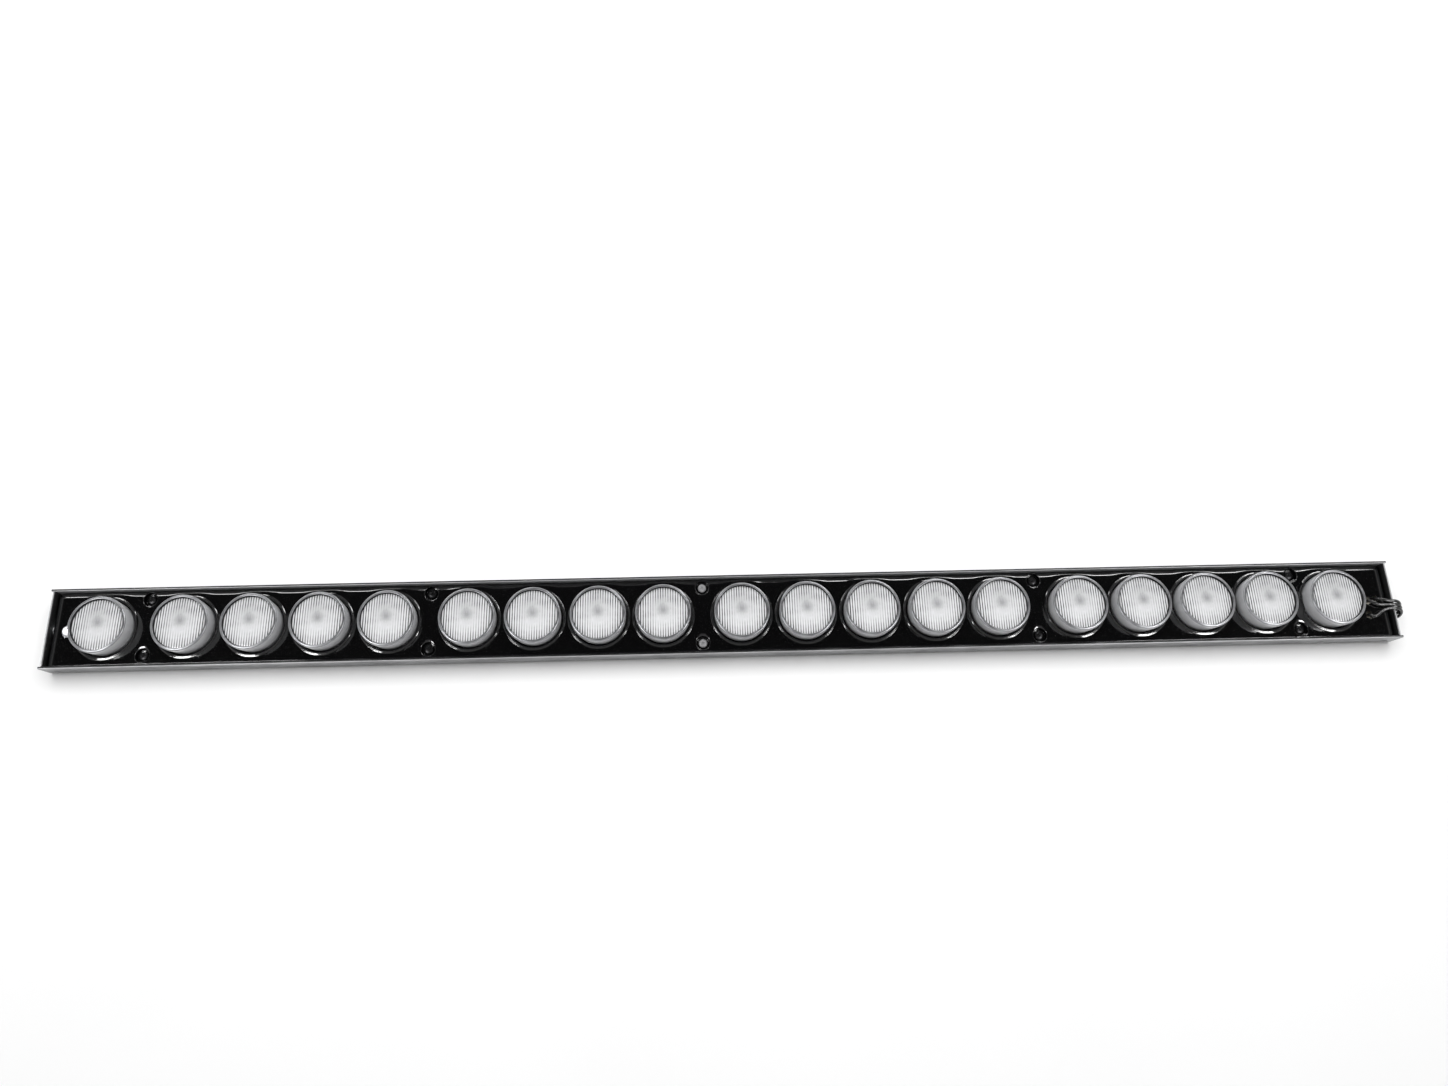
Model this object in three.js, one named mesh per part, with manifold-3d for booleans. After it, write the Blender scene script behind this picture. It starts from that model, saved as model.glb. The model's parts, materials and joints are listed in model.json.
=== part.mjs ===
// LED strip batten: a folded metal channel on its back, with a formed tray of fluted spot lamps facing up.
// Millimetres. X runs along the channel, Y across it and Z up, out of the lamps. The origin is the middle
// of the channel's back face.
import * as THREE from "three";
import { mergeVertices } from "three/addons/utils/BufferGeometryUtils.js";
import Module from "manifold-3d";

const wasm = await Module();
wasm.setup();

// ---------------------------------------------------------------- driving dimensions

const PIECE_GAP = 0.3; // between any two pieces that touch on the real batten

const LAMP_RADIUS = 25; // widest part of a lamp barrel
const LAMP_TAPER = 1.3; // how much slimmer the barrel is at its foot
const LAMP_FOOT_RADIUS = 19;
const LAMP_FOOT_RISE = 8; // height over which the foot widens into the barrel
const LAMP_ABOVE_RIM = 14.5; // how far the lamp fronts stand out of the channel
const SHOULDER = 1.6; // rounded front edge of a barrel
const BEZEL_WIDTH = 0.9; // from that edge in to the bore that holds the glass
const BEZEL_ROUND = 0.6; // how far the bezel drops into the bore
const GLASS_RECESS = 2.2; // how far the glass sits below the barrel's front
const GLASS_THICKNESS = 2;
const GLASS_CROWN = 0.8;
const REFLECTOR_FLOOR_RADIUS = 6;
const REFLECTOR_FLOOR = 4; // metal under the reflector's middle
const GLASS_LEDGE = 2; // width of the ledge that carries the glass

// The lamps stand in groups. "space" is the clear room between neighbours inside a group, and
// "roomAfter" is the clear room before the next group, where the tray's screws go.
const LAMP_GROUPS = [
  { lamps: 1, space: 0, roomAfter: 21.5 },
  { lamps: 4, space: 10, roomAfter: 21 },
  { lamps: 4, space: 8.1, roomAfter: 20.5 },
  { lamps: 5, space: 8.6, roomAfter: 21 },
  { lamps: 4, space: 8, roomAfter: 12 },
  { lamps: 1, space: 0, roomAfter: 0 },
];
const LEFT_END_ROOM = 26.7; // from the first barrel to the channel's end
const RIGHT_END_ROOM = 34.6;
const WALL_ROOM = 8.5; // from a barrel to the wall beside it

const CHANNEL_DEPTH = 25;
const CHANNEL_SHEET = 2;
const CHANNEL_EDGE_ROUND = 0.7;
const END_SHEET = 2;
const END_INSET = 1.8; // the long walls run past the end plates by this much

const TRAY_SHEET = 1.5;
const TRAY_DROP = 3; // the tray's flat top lies this far under the channel's rim
const TRAY_ROLL = 4; // rounded edge where the tray turns down beside the walls
const UNDER_TRAY_ROOM = 9.7; // from the channel's floor up to the tray's skirts
const TRAY_CLEARANCE = 0.5; // round the tray, inside the walls
const BARREL_CLEARANCE = 1.8; // between a barrel's foot and its hole in the tray
const HOLE_ROLL = 2.5; // rounded edge of a lamp hole

const SCREW_RADIUS = 1.5;
const SCREW_HEAD_RADIUS = 3.8;
const SCREW_HEAD_HEIGHT = 2;
const SCREW_HEAD_FLAT = 2.7; // radius of the flat on top of a screw's domed head
const SCREW_TIP_ROOM = 2.5; // from the bar up to a screw's tip
const SCREW_CLEARANCE = 0.4;
const CUP_RADIUS = 6.4;
const CUP_DEPTH = 5.5;
const CUP_WALL = 1;
const CUP_TAPER = 1.2;
const CUP_EDGE_ROOM = 0.45; // from a cup's outside to the tray's edge

const BAR_WIDTH = 30;
const BAR_SHEET = 3;
const ARM_WIDTH = 12;
const PILLAR_RADIUS = 3.2;

const RIVET_RADIUS = 1.5;
const RIVET_HEAD_RADIUS = 3;
const RIVET_HEAD_HEIGHT = 0.8;
const RIVET_FROM_BACK = 7.5;
const RIVET_FROM_END_PLATE = 5.2;
const END_TAB_LENGTH = 12;
const END_TAB_SHEET = 1.5;

const END_HOLE_RADIUS = 5.5; // through the tray at the left end
const END_HOLE_BACK_RADIUS = 7; // and through the channel's back under it
const END_HOLE_FROM_END = 19;
const END_HOLE_Y = -2;

const LEAD_RADIUS = 1.4;
const LEAD_GAP = 0.5; // between leads that lie side by side
const LEAD_HOLE_ROOM = 1.8; // round a lead where it comes up through the tray
const LEAD_STEPS = 26;
const LEAD_RETURN_Z = 10; // the leads come back through the end plate at this height
const LEAD_RETURN_Y = -12.8;
const GROMMET_WALL = 1.1;
const GROMMET_FLANGE = 1.3;
const GROMMET_FLANGE_SHEET = 0.9;

const TERMINAL_LENGTH = 20;
const TERMINAL_WIDTH = 26;
const TERMINAL_HEIGHT = 11.7;
const TERMINAL_FROM_END_PLATE = 7.2;
const TERMINAL_Y = -7;

const HARNESS_RADIUS = 1.8;
const HARNESS_HEIGHT = 8.5;
const HARNESS_FROM_WALL = 3;
const HARNESS_STEPS = 8;
const HARNESS_TURN = 16; // room in which the wiring turns in to the terminal block
const CLIP_FROM_END = 69;
const CLIP_LENGTH = 6;
const CLIP_WALL = 0.6;

const LAMP_SIDES = 18; // facets round a lamp, its glass and its hole
const SMALL_SIDES = 8; // facets round screws, rivets and leads
const CUP_SIDES = 10;
const EPS = 1; // how far a cutter runs past what it cuts

// ---------------------------------------------------------------- sizes that follow

// Lamp centres, and the middle of each room between groups, counted from the left end.
function layOutLamps() {
  const lamps = [];
  const rooms = [];
  let edge = LEFT_END_ROOM;
  for (const group of LAMP_GROUPS) {
    for (let i = 0; i < group.lamps; i++) {
      lamps.push(edge + LAMP_RADIUS);
      edge += 2 * LAMP_RADIUS;
      if (i < group.lamps - 1) edge += group.space;
    }
    if (group.roomAfter > 0) rooms.push(edge + group.roomAfter / 2);
    edge += group.roomAfter;
  }
  return { lamps, rooms, length: edge + RIGHT_END_ROOM };
}

const layout = layOutLamps();
const BATTEN_LENGTH = layout.length;
const HALF_LENGTH = BATTEN_LENGTH / 2;
const lampX = layout.lamps.map((x) => x - HALF_LENGTH);
const screwX = layout.rooms.map((x) => x - HALF_LENGTH);

const HALF_INSIDE = LAMP_RADIUS + WALL_ROOM;
const HALF_WIDTH = HALF_INSIDE + CHANNEL_SHEET;
const RIM = CHANNEL_DEPTH;
const FLOOR = CHANNEL_SHEET + PIECE_GAP; // where pieces rest inside the channel

const END_OUTER = HALF_LENGTH - END_INSET;
const END_INNER = END_OUTER - END_SHEET;

const LAMP_FRONT = RIM + LAMP_ABOVE_RIM;
const BAR_TOP = FLOOR + BAR_SHEET;
const LAMP_FOOT = BAR_TOP + PIECE_GAP;
const GLASS_BORE = LAMP_RADIUS - SHOULDER - BEZEL_WIDTH;
const GLASS_RADIUS = GLASS_BORE - PIECE_GAP;
const GLASS_SEAT = LAMP_FRONT - GLASS_RECESS - GLASS_THICKNESS - GLASS_CROWN - PIECE_GAP;

const TRAY_TOP = RIM - TRAY_DROP;
const TRAY_HALF_WIDTH = HALF_INSIDE - TRAY_CLEARANCE;
const TRAY_HALF_LENGTH = END_INNER - TRAY_CLEARANCE;
const TRAY_BOTTOM = FLOOR + UNDER_TRAY_ROOM;
const HOLE_RADIUS = LAMP_RADIUS - LAMP_TAPER + BARREL_CLEARANCE;

const SCREW_Y = TRAY_HALF_WIDTH - CUP_EDGE_ROOM - CUP_WALL - CUP_RADIUS;
const CUP_FOOT = CUP_RADIUS - CUP_TAPER;
const CUP_FLOOR = TRAY_TOP - CUP_DEPTH;
const SCREW_SEAT = CUP_FLOOR + PIECE_GAP;
const PILLAR_TOP = CUP_FLOOR - TRAY_SHEET - PIECE_GAP;
const SCREW_HOLE = SCREW_RADIUS + SCREW_CLEARANCE;
const SCREW_LENGTH = SCREW_SEAT - BAR_TOP - SCREW_TIP_ROOM;

const RIVET_X = END_INNER - RIVET_FROM_END_PLATE;
const LEAD_SPACING = 2 * LEAD_RADIUS + LEAD_GAP;
const TERMINAL_FACE = END_INNER - TERMINAL_FROM_END_PLATE;
const TERMINAL_TOP = FLOOR + TERMINAL_HEIGHT;
const HARNESS_Y = HARNESS_FROM_WALL - HALF_INSIDE;

// ---------------------------------------------------------------- making solids

// A closed three.js geometry as a solid that can be cut and joined.
function solid(geometry) {
  const bare = geometry.index ? geometry.toNonIndexed() : geometry.clone();
  bare.deleteAttribute("normal");
  bare.deleteAttribute("uv");
  const merged = mergeVertices(bare, 1e-4);
  const mesh = new wasm.Mesh({
    numProp: 3,
    vertProperties: merged.attributes.position.array,
    triVerts: new Uint32Array(merged.index.array),
  });
  return new wasm.Manifold(mesh);
}

// The finished solid as a three.js geometry.
function geometryOf(manifold) {
  const mesh = manifold.getMesh();
  const geometry = new THREE.BufferGeometry();
  geometry.setAttribute("position", new THREE.BufferAttribute(mesh.vertProperties, 3));
  geometry.setIndex(new THREE.BufferAttribute(mesh.triVerts, 1));
  return geometry;
}

function box(x0, x1, y0, y1, z0, z1) {
  const geometry = new THREE.BoxGeometry(x1 - x0, y1 - y0, z1 - z0);
  geometry.translate((x0 + x1) / 2, (y0 + y1) / 2, (z0 + z1) / 2);
  return solid(geometry);
}

// Turns a profile of [radius, height] points about the Z axis.
function turned(profile, sides) {
  const points = profile.map(([r, z]) => new THREE.Vector2(r, z));
  const geometry = new THREE.LatheGeometry(points, sides);
  geometry.rotateX(Math.PI / 2);
  return geometry;
}

function upright(radius, z0, z1, sides, x, y) {
  const geometry = turned([[0, z0], [radius, z0], [radius, z1], [0, z1]], sides);
  geometry.translate(x, y, 0);
  return solid(geometry);
}

// A round bar along Y, from y0 to y1.
function crosswise(radius, y0, y1, x, z) {
  const geometry = new THREE.CylinderGeometry(radius, radius, Math.abs(y1 - y0), SMALL_SIDES);
  geometry.translate(x, (y0 + y1) / 2, z);
  return solid(geometry);
}

// An outline of [y, z] points, extruded along X.
function alongX(outline, x0, x1) {
  const shape = new THREE.Shape(outline.map(([y, z]) => new THREE.Vector2(y, z)));
  const geometry = new THREE.ExtrudeGeometry(shape, { depth: x1 - x0, bevelEnabled: false });
  geometry.rotateX(Math.PI / 2);
  geometry.rotateZ(Math.PI / 2);
  geometry.translate(x0, 0, 0);
  return solid(geometry);
}

// A round tube of solid wire along a smooth path through the points.
function wire(points, radius, steps) {
  const section = new THREE.Shape();
  for (let i = 0; i < SMALL_SIDES; i++) {
    const a = (2 * Math.PI * i) / SMALL_SIDES;
    if (i === 0) section.moveTo(radius, 0);
    else section.lineTo(radius * Math.cos(a), radius * Math.sin(a));
  }
  const path = new THREE.CatmullRomCurve3(points, false, "centripetal");
  return new THREE.ExtrudeGeometry(section, { steps, extrudePath: path, bevelEnabled: false });
}

const group = new THREE.Group();

function add(name, geometry, finish) {
  const mesh = new THREE.Mesh(geometry, new THREE.MeshStandardMaterial(finish));
  mesh.name = name;
  group.add(mesh);
  return mesh;
}

const SATIN_ALUMINIUM = { color: 0xb9bbbd, roughness: 0.38, metalness: 1 };
const BLACK_PLASTIC = { color: 0x0b0b0c, roughness: 0.22, metalness: 0 };
const GREY_METAL = { color: 0x9b9ea3, roughness: 0.35, metalness: 1 };
const CLEAR_GLASS = { color: 0xf2f4f7, roughness: 0.08, metalness: 0 };
const BLACKENED_STEEL = { color: 0x2a2a2c, roughness: 0.4, metalness: 1 };
const BLACK_RUBBER = { color: 0x101010, roughness: 0.45, metalness: 0 };
const CREAM_PLASTIC = { color: 0xd8d4c8, roughness: 0.5, metalness: 0 };

// ---------------------------------------------------------------- channel and end plates

function channel() {
  const r = CHANNEL_EDGE_ROUND;
  const w = HALF_WIDTH;
  const inside = HALF_INSIDE;
  const outline = [
    [-w + r, 0],
    [w - r, 0],
    [w, r],
    [w, RIM - r],
    [w - r, RIM],
    [inside + r / 2, RIM],
    [inside, RIM - r / 2],
    [inside, CHANNEL_SHEET],
    [-inside, CHANNEL_SHEET],
    [-inside, RIM - r / 2],
    [-inside - r / 2, RIM],
    [-w + r, RIM],
    [-w, RIM - r],
    [-w, r],
  ];
  let body = alongX(outline, -HALF_LENGTH, HALF_LENGTH);
  const hole = RIVET_RADIUS + PIECE_GAP;
  for (const side of [-1, 1]) {
    for (const end of [-1, 1]) {
      body = body.subtract(
        crosswise(hole, side * (inside - EPS), side * (w + EPS), end * RIVET_X, RIVET_FROM_BACK),
      );
    }
  }
  const clipX = HALF_LENGTH - CLIP_FROM_END;
  body = body.subtract(crosswise(hole, -w - EPS, -inside + EPS, clipX, HARNESS_HEIGHT));
  const endHoleX = END_HOLE_FROM_END - HALF_LENGTH;
  return body.subtract(
    upright(END_HOLE_BACK_RADIUS, -EPS, CHANNEL_SHEET + EPS, LAMP_SIDES, endHoleX, END_HOLE_Y),
  );
}

// A rivet through a side wall, from just inside the wall to its head on the outside.
function rivet(x, z, side, from) {
  const headFoot = HALF_WIDTH + PIECE_GAP;
  const shank = crosswise(RIVET_RADIUS, side * from, side * (headFoot + PIECE_GAP), x, z);
  const head = crosswise(RIVET_HEAD_RADIUS, side * headFoot, side * (headFoot + RIVET_HEAD_HEIGHT), x, z);
  return shank.add(head);
}

// The grommet's oval, grown by "more" all round, as [y, z] points about its centre.
function oval(more) {
  const radius = LEAD_RADIUS + PIECE_GAP + more;
  const points = [];
  for (let i = 0; i < 2 * SMALL_SIDES; i++) {
    const a = (Math.PI * (i + 0.5)) / SMALL_SIDES;
    const centre = Math.sign(Math.cos(a)) * LEAD_SPACING;
    points.push([LEAD_RETURN_Y + centre + radius * Math.cos(a), LEAD_RETURN_Z + radius * Math.sin(a)]);
  }
  return points;
}

// end is -1 for the left plate and 1 for the right one.
function endPlate(end) {
  const outside = HALF_INSIDE - PIECE_GAP;
  const span = (a, b, y0, y1, z0, z1) =>
    box(Math.min(end * a, end * b), Math.max(end * a, end * b), y0, y1, z0, z1);
  let body = span(END_INNER, END_OUTER, -outside, outside, FLOOR, RIM);
  for (const side of [-1, 1]) {
    const inner = side * (outside - END_TAB_SHEET);
    const outer = side * outside;
    const tab = span(
      END_INNER - END_TAB_LENGTH,
      END_INNER + PIECE_GAP,
      Math.min(inner, outer),
      Math.max(inner, outer),
      FLOOR,
      TRAY_BOTTOM - TRAY_CLEARANCE,
    );
    body = body.add(tab);
    body = body.add(rivet(end * RIVET_X, RIVET_FROM_BACK, side, outside - END_TAB_SHEET / 2));
  }
  if (end > 0) {
    body = body.subtract(alongX(oval(GROMMET_WALL + PIECE_GAP), END_INNER - EPS, END_OUTER + EPS));
  }
  return body;
}

function leadGrommet() {
  const flangeFace = END_OUTER + PIECE_GAP;
  const neck = alongX(oval(GROMMET_WALL), END_INNER, flangeFace + PIECE_GAP);
  const flange = alongX(oval(GROMMET_WALL + GROMMET_FLANGE), flangeFace, flangeFace + GROMMET_FLANGE_SHEET);
  return neck.add(flange).subtract(alongX(oval(0), END_INNER - EPS, END_OUTER + 2 * EPS));
}

// ---------------------------------------------------------------- tray and its screws

// The formed sheet in section: a flat top whose two edges roll down into short skirts.
function trayOutline(half, top, bottom) {
  const roll = TRAY_ROLL;
  const knee = roll * (1 - Math.SQRT1_2);
  return [
    [-half, bottom],
    [half, bottom],
    [half, top - roll],
    [half - knee, top - knee],
    [half - roll, top],
    [-half + roll, top],
    [-half + knee, top - knee],
    [-half, top - roll],
  ];
}

function lampHole(x) {
  const rolled = HOLE_RADIUS + HOLE_ROLL;
  const profile = [
    [0, TRAY_BOTTOM],
    [HOLE_RADIUS, TRAY_BOTTOM],
    [HOLE_RADIUS, TRAY_TOP - TRAY_SHEET / 2],
    [rolled, TRAY_TOP + EPS / 2],
    [0, TRAY_TOP + EPS / 2],
  ];
  const geometry = turned(profile, LAMP_SIDES);
  geometry.translate(x, 0, 0);
  return solid(geometry);
}

// A screw cup hangs under the tray; the room inside it and its screw hole are cut afterwards.
function cup(x, y) {
  const geometry = turned(
    [
      [0, CUP_FLOOR - TRAY_SHEET],
      [CUP_FOOT + CUP_WALL, CUP_FLOOR - TRAY_SHEET],
      [CUP_RADIUS + CUP_WALL, TRAY_TOP - TRAY_SHEET / 2],
      [0, TRAY_TOP - TRAY_SHEET / 2],
    ],
    CUP_SIDES,
  );
  geometry.translate(x, y, 0);
  return solid(geometry);
}

function cupRoom(x, y) {
  const geometry = turned(
    [
      [0, CUP_FLOOR - TRAY_SHEET - EPS],
      [SCREW_HOLE, CUP_FLOOR - TRAY_SHEET - EPS],
      [SCREW_HOLE, CUP_FLOOR],
      [CUP_FOOT, CUP_FLOOR],
      [CUP_RADIUS, TRAY_TOP + EPS],
      [0, TRAY_TOP + EPS],
    ],
    CUP_SIDES,
  );
  geometry.translate(x, y, 0);
  return solid(geometry);
}

const screwPlaces = screwX.flatMap((x) => [[x, SCREW_Y], [x, -SCREW_Y]]);

// Where each lead comes up through the tray, counted from the end plate's outer face.
const LEAD_RISERS = [
  { x: -14.7, y: 0.8 },
  { x: -21.7, y: -0.5 },
  { x: -23.2, y: -13.4 },
];

function tray() {
  const x = TRAY_HALF_LENGTH;
  const outer = alongX(trayOutline(TRAY_HALF_WIDTH, TRAY_TOP, TRAY_BOTTOM), -x, x);
  const innerHalf = TRAY_HALF_WIDTH - TRAY_SHEET;
  const innerTop = TRAY_TOP - TRAY_SHEET;
  const room = alongX(trayOutline(innerHalf, innerTop, TRAY_BOTTOM - EPS), -x + TRAY_SHEET, x - TRAY_SHEET);
  let body = outer.subtract(room);
  for (const [sx, sy] of screwPlaces) body = body.add(cup(sx, sy));
  for (const [sx, sy] of screwPlaces) body = body.subtract(cupRoom(sx, sy));
  for (const lx of lampX) body = body.subtract(lampHole(lx));
  const through = (radius, hx, hy, sides) => upright(radius, innerTop - EPS, TRAY_TOP + EPS, sides, hx, hy);
  body = body.subtract(through(END_HOLE_RADIUS, END_HOLE_FROM_END - HALF_LENGTH, END_HOLE_Y, LAMP_SIDES));
  for (const riser of LEAD_RISERS) {
    body = body.subtract(through(LEAD_RADIUS + LEAD_HOLE_ROOM, END_OUTER + riser.x, riser.y, CUP_SIDES));
  }
  return body;
}

function screw() {
  const top = SCREW_HEAD_HEIGHT;
  return turned(
    [
      [0, -SCREW_LENGTH],
      [SCREW_RADIUS, -SCREW_LENGTH],
      [SCREW_RADIUS, 0],
      [SCREW_HEAD_RADIUS, 0],
      [SCREW_HEAD_RADIUS, top / 2],
      [SCREW_HEAD_FLAT, top],
      [0, top],
    ],
    SMALL_SIDES,
  );
}

// ---------------------------------------------------------------- lamps and the bar that carries them

function lampHousing() {
  return turned(
    [
      [0, LAMP_FOOT],
      [LAMP_FOOT_RADIUS, LAMP_FOOT],
      [LAMP_RADIUS - LAMP_TAPER, LAMP_FOOT + LAMP_FOOT_RISE],
      [LAMP_RADIUS, LAMP_FRONT - SHOULDER],
      [LAMP_RADIUS - SHOULDER, LAMP_FRONT],
      [GLASS_BORE, LAMP_FRONT - BEZEL_ROUND],
      [GLASS_BORE, GLASS_SEAT],
      [GLASS_BORE - GLASS_LEDGE, GLASS_SEAT],
      [REFLECTOR_FLOOR_RADIUS, LAMP_FOOT + REFLECTOR_FLOOR],
      [0, LAMP_FOOT + REFLECTOR_FLOOR],
    ],
    LAMP_SIDES,
  );
}

function lampGlass() {
  const back = GLASS_SEAT + PIECE_GAP;
  return turned(
    [
      [0, back],
      [GLASS_RADIUS, back],
      [GLASS_RADIUS, back + GLASS_THICKNESS],
      [0, back + GLASS_THICKNESS + GLASS_CROWN - PIECE_GAP / 2],
    ],
    LAMP_SIDES,
  );
}

// A flat bar under all the lamps, with a cross arm and two drilled pillars at each pair of tray screws.
function lampBar() {
  const from = lampX[0] - LAMP_RADIUS;
  const to = lampX[lampX.length - 1] + LAMP_RADIUS;
  let bar = box(from, to, -BAR_WIDTH / 2, BAR_WIDTH / 2, FLOOR, BAR_TOP);
  const armEnd = SCREW_Y + PILLAR_RADIUS;
  for (const x of screwX) {
    bar = bar.add(box(x - ARM_WIDTH / 2, x + ARM_WIDTH / 2, -armEnd, armEnd, FLOOR, BAR_TOP));
  }
  for (const [x, y] of screwPlaces) {
    bar = bar.add(upright(PILLAR_RADIUS, BAR_TOP - PIECE_GAP, PILLAR_TOP, CUP_SIDES, x, y));
  }
  for (const [x, y] of screwPlaces) {
    bar = bar.subtract(upright(SCREW_HOLE, BAR_TOP, PILLAR_TOP + EPS, CUP_SIDES, x, y));
  }
  return bar;
}

// ---------------------------------------------------------------- wiring

function terminalBlock() {
  const y0 = TERMINAL_Y - TERMINAL_WIDTH / 2;
  return box(TERMINAL_FACE - TERMINAL_LENGTH, TERMINAL_FACE, y0, y0 + TERMINAL_WIDTH, FLOOR, TERMINAL_TOP);
}

// The supply wires to the lamps, bundled along the wall and turned in to the terminal block.
function wiringHarness() {
  const end = TERMINAL_FACE - TERMINAL_LENGTH - PIECE_GAP;
  const bendStart = end - HARNESS_TURN;
  const across = TERMINAL_Y - TERMINAL_WIDTH / 2 + HARNESS_RADIUS - HARNESS_Y;
  const at = (x, y) => new THREE.Vector3(bendStart + x * HARNESS_TURN, HARNESS_Y + y * across, HARNESS_HEIGHT);
  const bend = wire(
    [
      at(-0.1, 0),
      at(0.3, 0.12),
      at(0.6, 0.88),
      at(0.8, 1),
      at(1, 1),
    ],
    HARNESS_RADIUS,
    HARNESS_STEPS,
  );
  const length = bendStart - lampX[0];
  const straight = new THREE.CylinderGeometry(HARNESS_RADIUS, HARNESS_RADIUS, length, SMALL_SIDES);
  straight.rotateZ(Math.PI / 2);
  straight.translate(lampX[0] + length / 2, HARNESS_Y, HARNESS_HEIGHT);
  return solid(straight).add(solid(bend));
}

// A clip round the wiring, held by its own rivet through the wall.
function harnessClip() {
  const x = HALF_LENGTH - CLIP_FROM_END;
  const ring = new THREE.CylinderGeometry(
    HARNESS_RADIUS + PIECE_GAP + CLIP_WALL,
    HARNESS_RADIUS + PIECE_GAP + CLIP_WALL,
    CLIP_LENGTH,
    2 * SMALL_SIDES,
  );
  const bore = new THREE.CylinderGeometry(
    HARNESS_RADIUS + PIECE_GAP,
    HARNESS_RADIUS + PIECE_GAP,
    CLIP_LENGTH + 2 * EPS,
    2 * SMALL_SIDES,
  );
  for (const geometry of [ring, bore]) {
    geometry.rotateZ(Math.PI / 2);
    geometry.translate(x, HARNESS_Y, HARNESS_HEIGHT);
  }
  const stem = rivet(x, HARNESS_HEIGHT, -1, -HARNESS_Y + HARNESS_RADIUS);
  return solid(ring).add(stem).subtract(solid(bore));
}

// Each lead rises from the terminal block, goes over the end plate's rim, loops down outside and comes
// back through the grommet. Points are chosen by hand: x from the end plate's outer face, z from the rim.
const LEAD_RISE_ROUTES = [
  [[-14.4, 0.7, -3.5], [-12.7, 0.2, -0.4], [-9.2, -1, 1.3]],
  [[-21, -1, -2.7], [-18.4, -2.8, -0.4], [-14.4, -4.9, 0.2], [-9.7, -5.6, 0.8]],
  [[-22.5, -14.1, -2.2], [-19.9, -15.7, -0.6], [-16.4, -14.2, -0.4], [-12.4, -11.2, 0.2], [-8.2, -9.5, 1]],
];
const LEAD_LOOP = [
  [-4, 0, 1.9],
  [0, 0, 2.2],
  [3.5, -0.8, 1.2],
  [6.2, -2.2, -1.4],
  [7.4, -3.8, -4.8],
  [7.2, -5.3, -8.4],
  [5.8, -6.3, -11.8],
];
// The last stretch, with z from the middle of the grommet.
const LEAD_RETURN = [
  [3.8, -6.9, 0.8],
  [1.6, -7.1, 0],
  [-2, -7.1, 0],
  [-5, -7.1, 0],
];
const LEAD_RIM_Y = -5.7; // where the middle lead crosses the rim

function lead(i) {
  const riser = LEAD_RISERS[i];
  const rimY = LEAD_RIM_Y + (1 - i) * LEAD_SPACING;
  const points = [
    new THREE.Vector3(END_OUTER + riser.x, riser.y, TERMINAL_TOP + PIECE_GAP),
    new THREE.Vector3(END_OUTER + riser.x, riser.y, TERMINAL_TOP + 3 * LEAD_RADIUS),
  ];
  for (const [x, y, z] of LEAD_RISE_ROUTES[i]) points.push(new THREE.Vector3(END_OUTER + x, y, RIM + z));
  for (const [x, y, z] of LEAD_LOOP) points.push(new THREE.Vector3(END_OUTER + x, rimY + y, RIM + z));
  for (const [x, y, z] of LEAD_RETURN) {
    points.push(new THREE.Vector3(END_OUTER + x, rimY + y, LEAD_RETURN_Z + z));
  }
  const last = points[points.length - 1];
  points.push(new THREE.Vector3(TERMINAL_FACE + PIECE_GAP, last.y, last.z));
  return wire(points, LEAD_RADIUS, LEAD_STEPS);
}

// ---------------------------------------------------------------- the whole batten

const twoDigits = (n) => String(n).padStart(2, "0");

add("channel", geometryOf(channel()), SATIN_ALUMINIUM);
add("end_plate_left", geometryOf(endPlate(-1)), SATIN_ALUMINIUM);
add("end_plate_right", geometryOf(endPlate(1)), SATIN_ALUMINIUM);
add("tray", geometryOf(tray()), BLACK_PLASTIC);
add("lamp_bar", geometryOf(lampBar()), GREY_METAL);
lampX.forEach((x, i) => {
  add("lamp_housing_" + twoDigits(i + 1), lampHousing(), GREY_METAL).position.x = x;
  add("lamp_glass_" + twoDigits(i + 1), lampGlass(), CLEAR_GLASS).position.x = x;
});
screwPlaces.forEach(([x, y], i) => {
  add("tray_screw_" + twoDigits(i + 1), screw(), BLACKENED_STEEL).position.set(x, y, SCREW_SEAT);
});
["lead_upper", "lead_middle", "lead_lower"].forEach((name, i) => add(name, lead(i), BLACK_RUBBER));
add("lead_grommet", geometryOf(leadGrommet()), BLACK_RUBBER);
add("terminal_block", geometryOf(terminalBlock()), CREAM_PLASTIC);
add("wiring_harness", geometryOf(wiringHarness()), BLACK_RUBBER);
add("harness_clip", geometryOf(harnessClip()), GREY_METAL);

export default group;
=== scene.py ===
# %% [markdown]
# # A led strip batten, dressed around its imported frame
# The batten is a folded aluminium channel, lying on its back, with a gloss black formed tray of nineteen
# fluted spot lamps facing up. The frame brings every solid at its real size, in metres: X runs along the
# channel, Y across it and Z up, out of the lamps. This lesson adds what the frame leaves out: round barrels,
# real flutes, rolled edges and the finish of each metal, plastic and glass.

# %% Load the frame
import json
import math

import bmesh
import bpy
import numpy as np
from mathutils import Matrix, Vector


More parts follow.
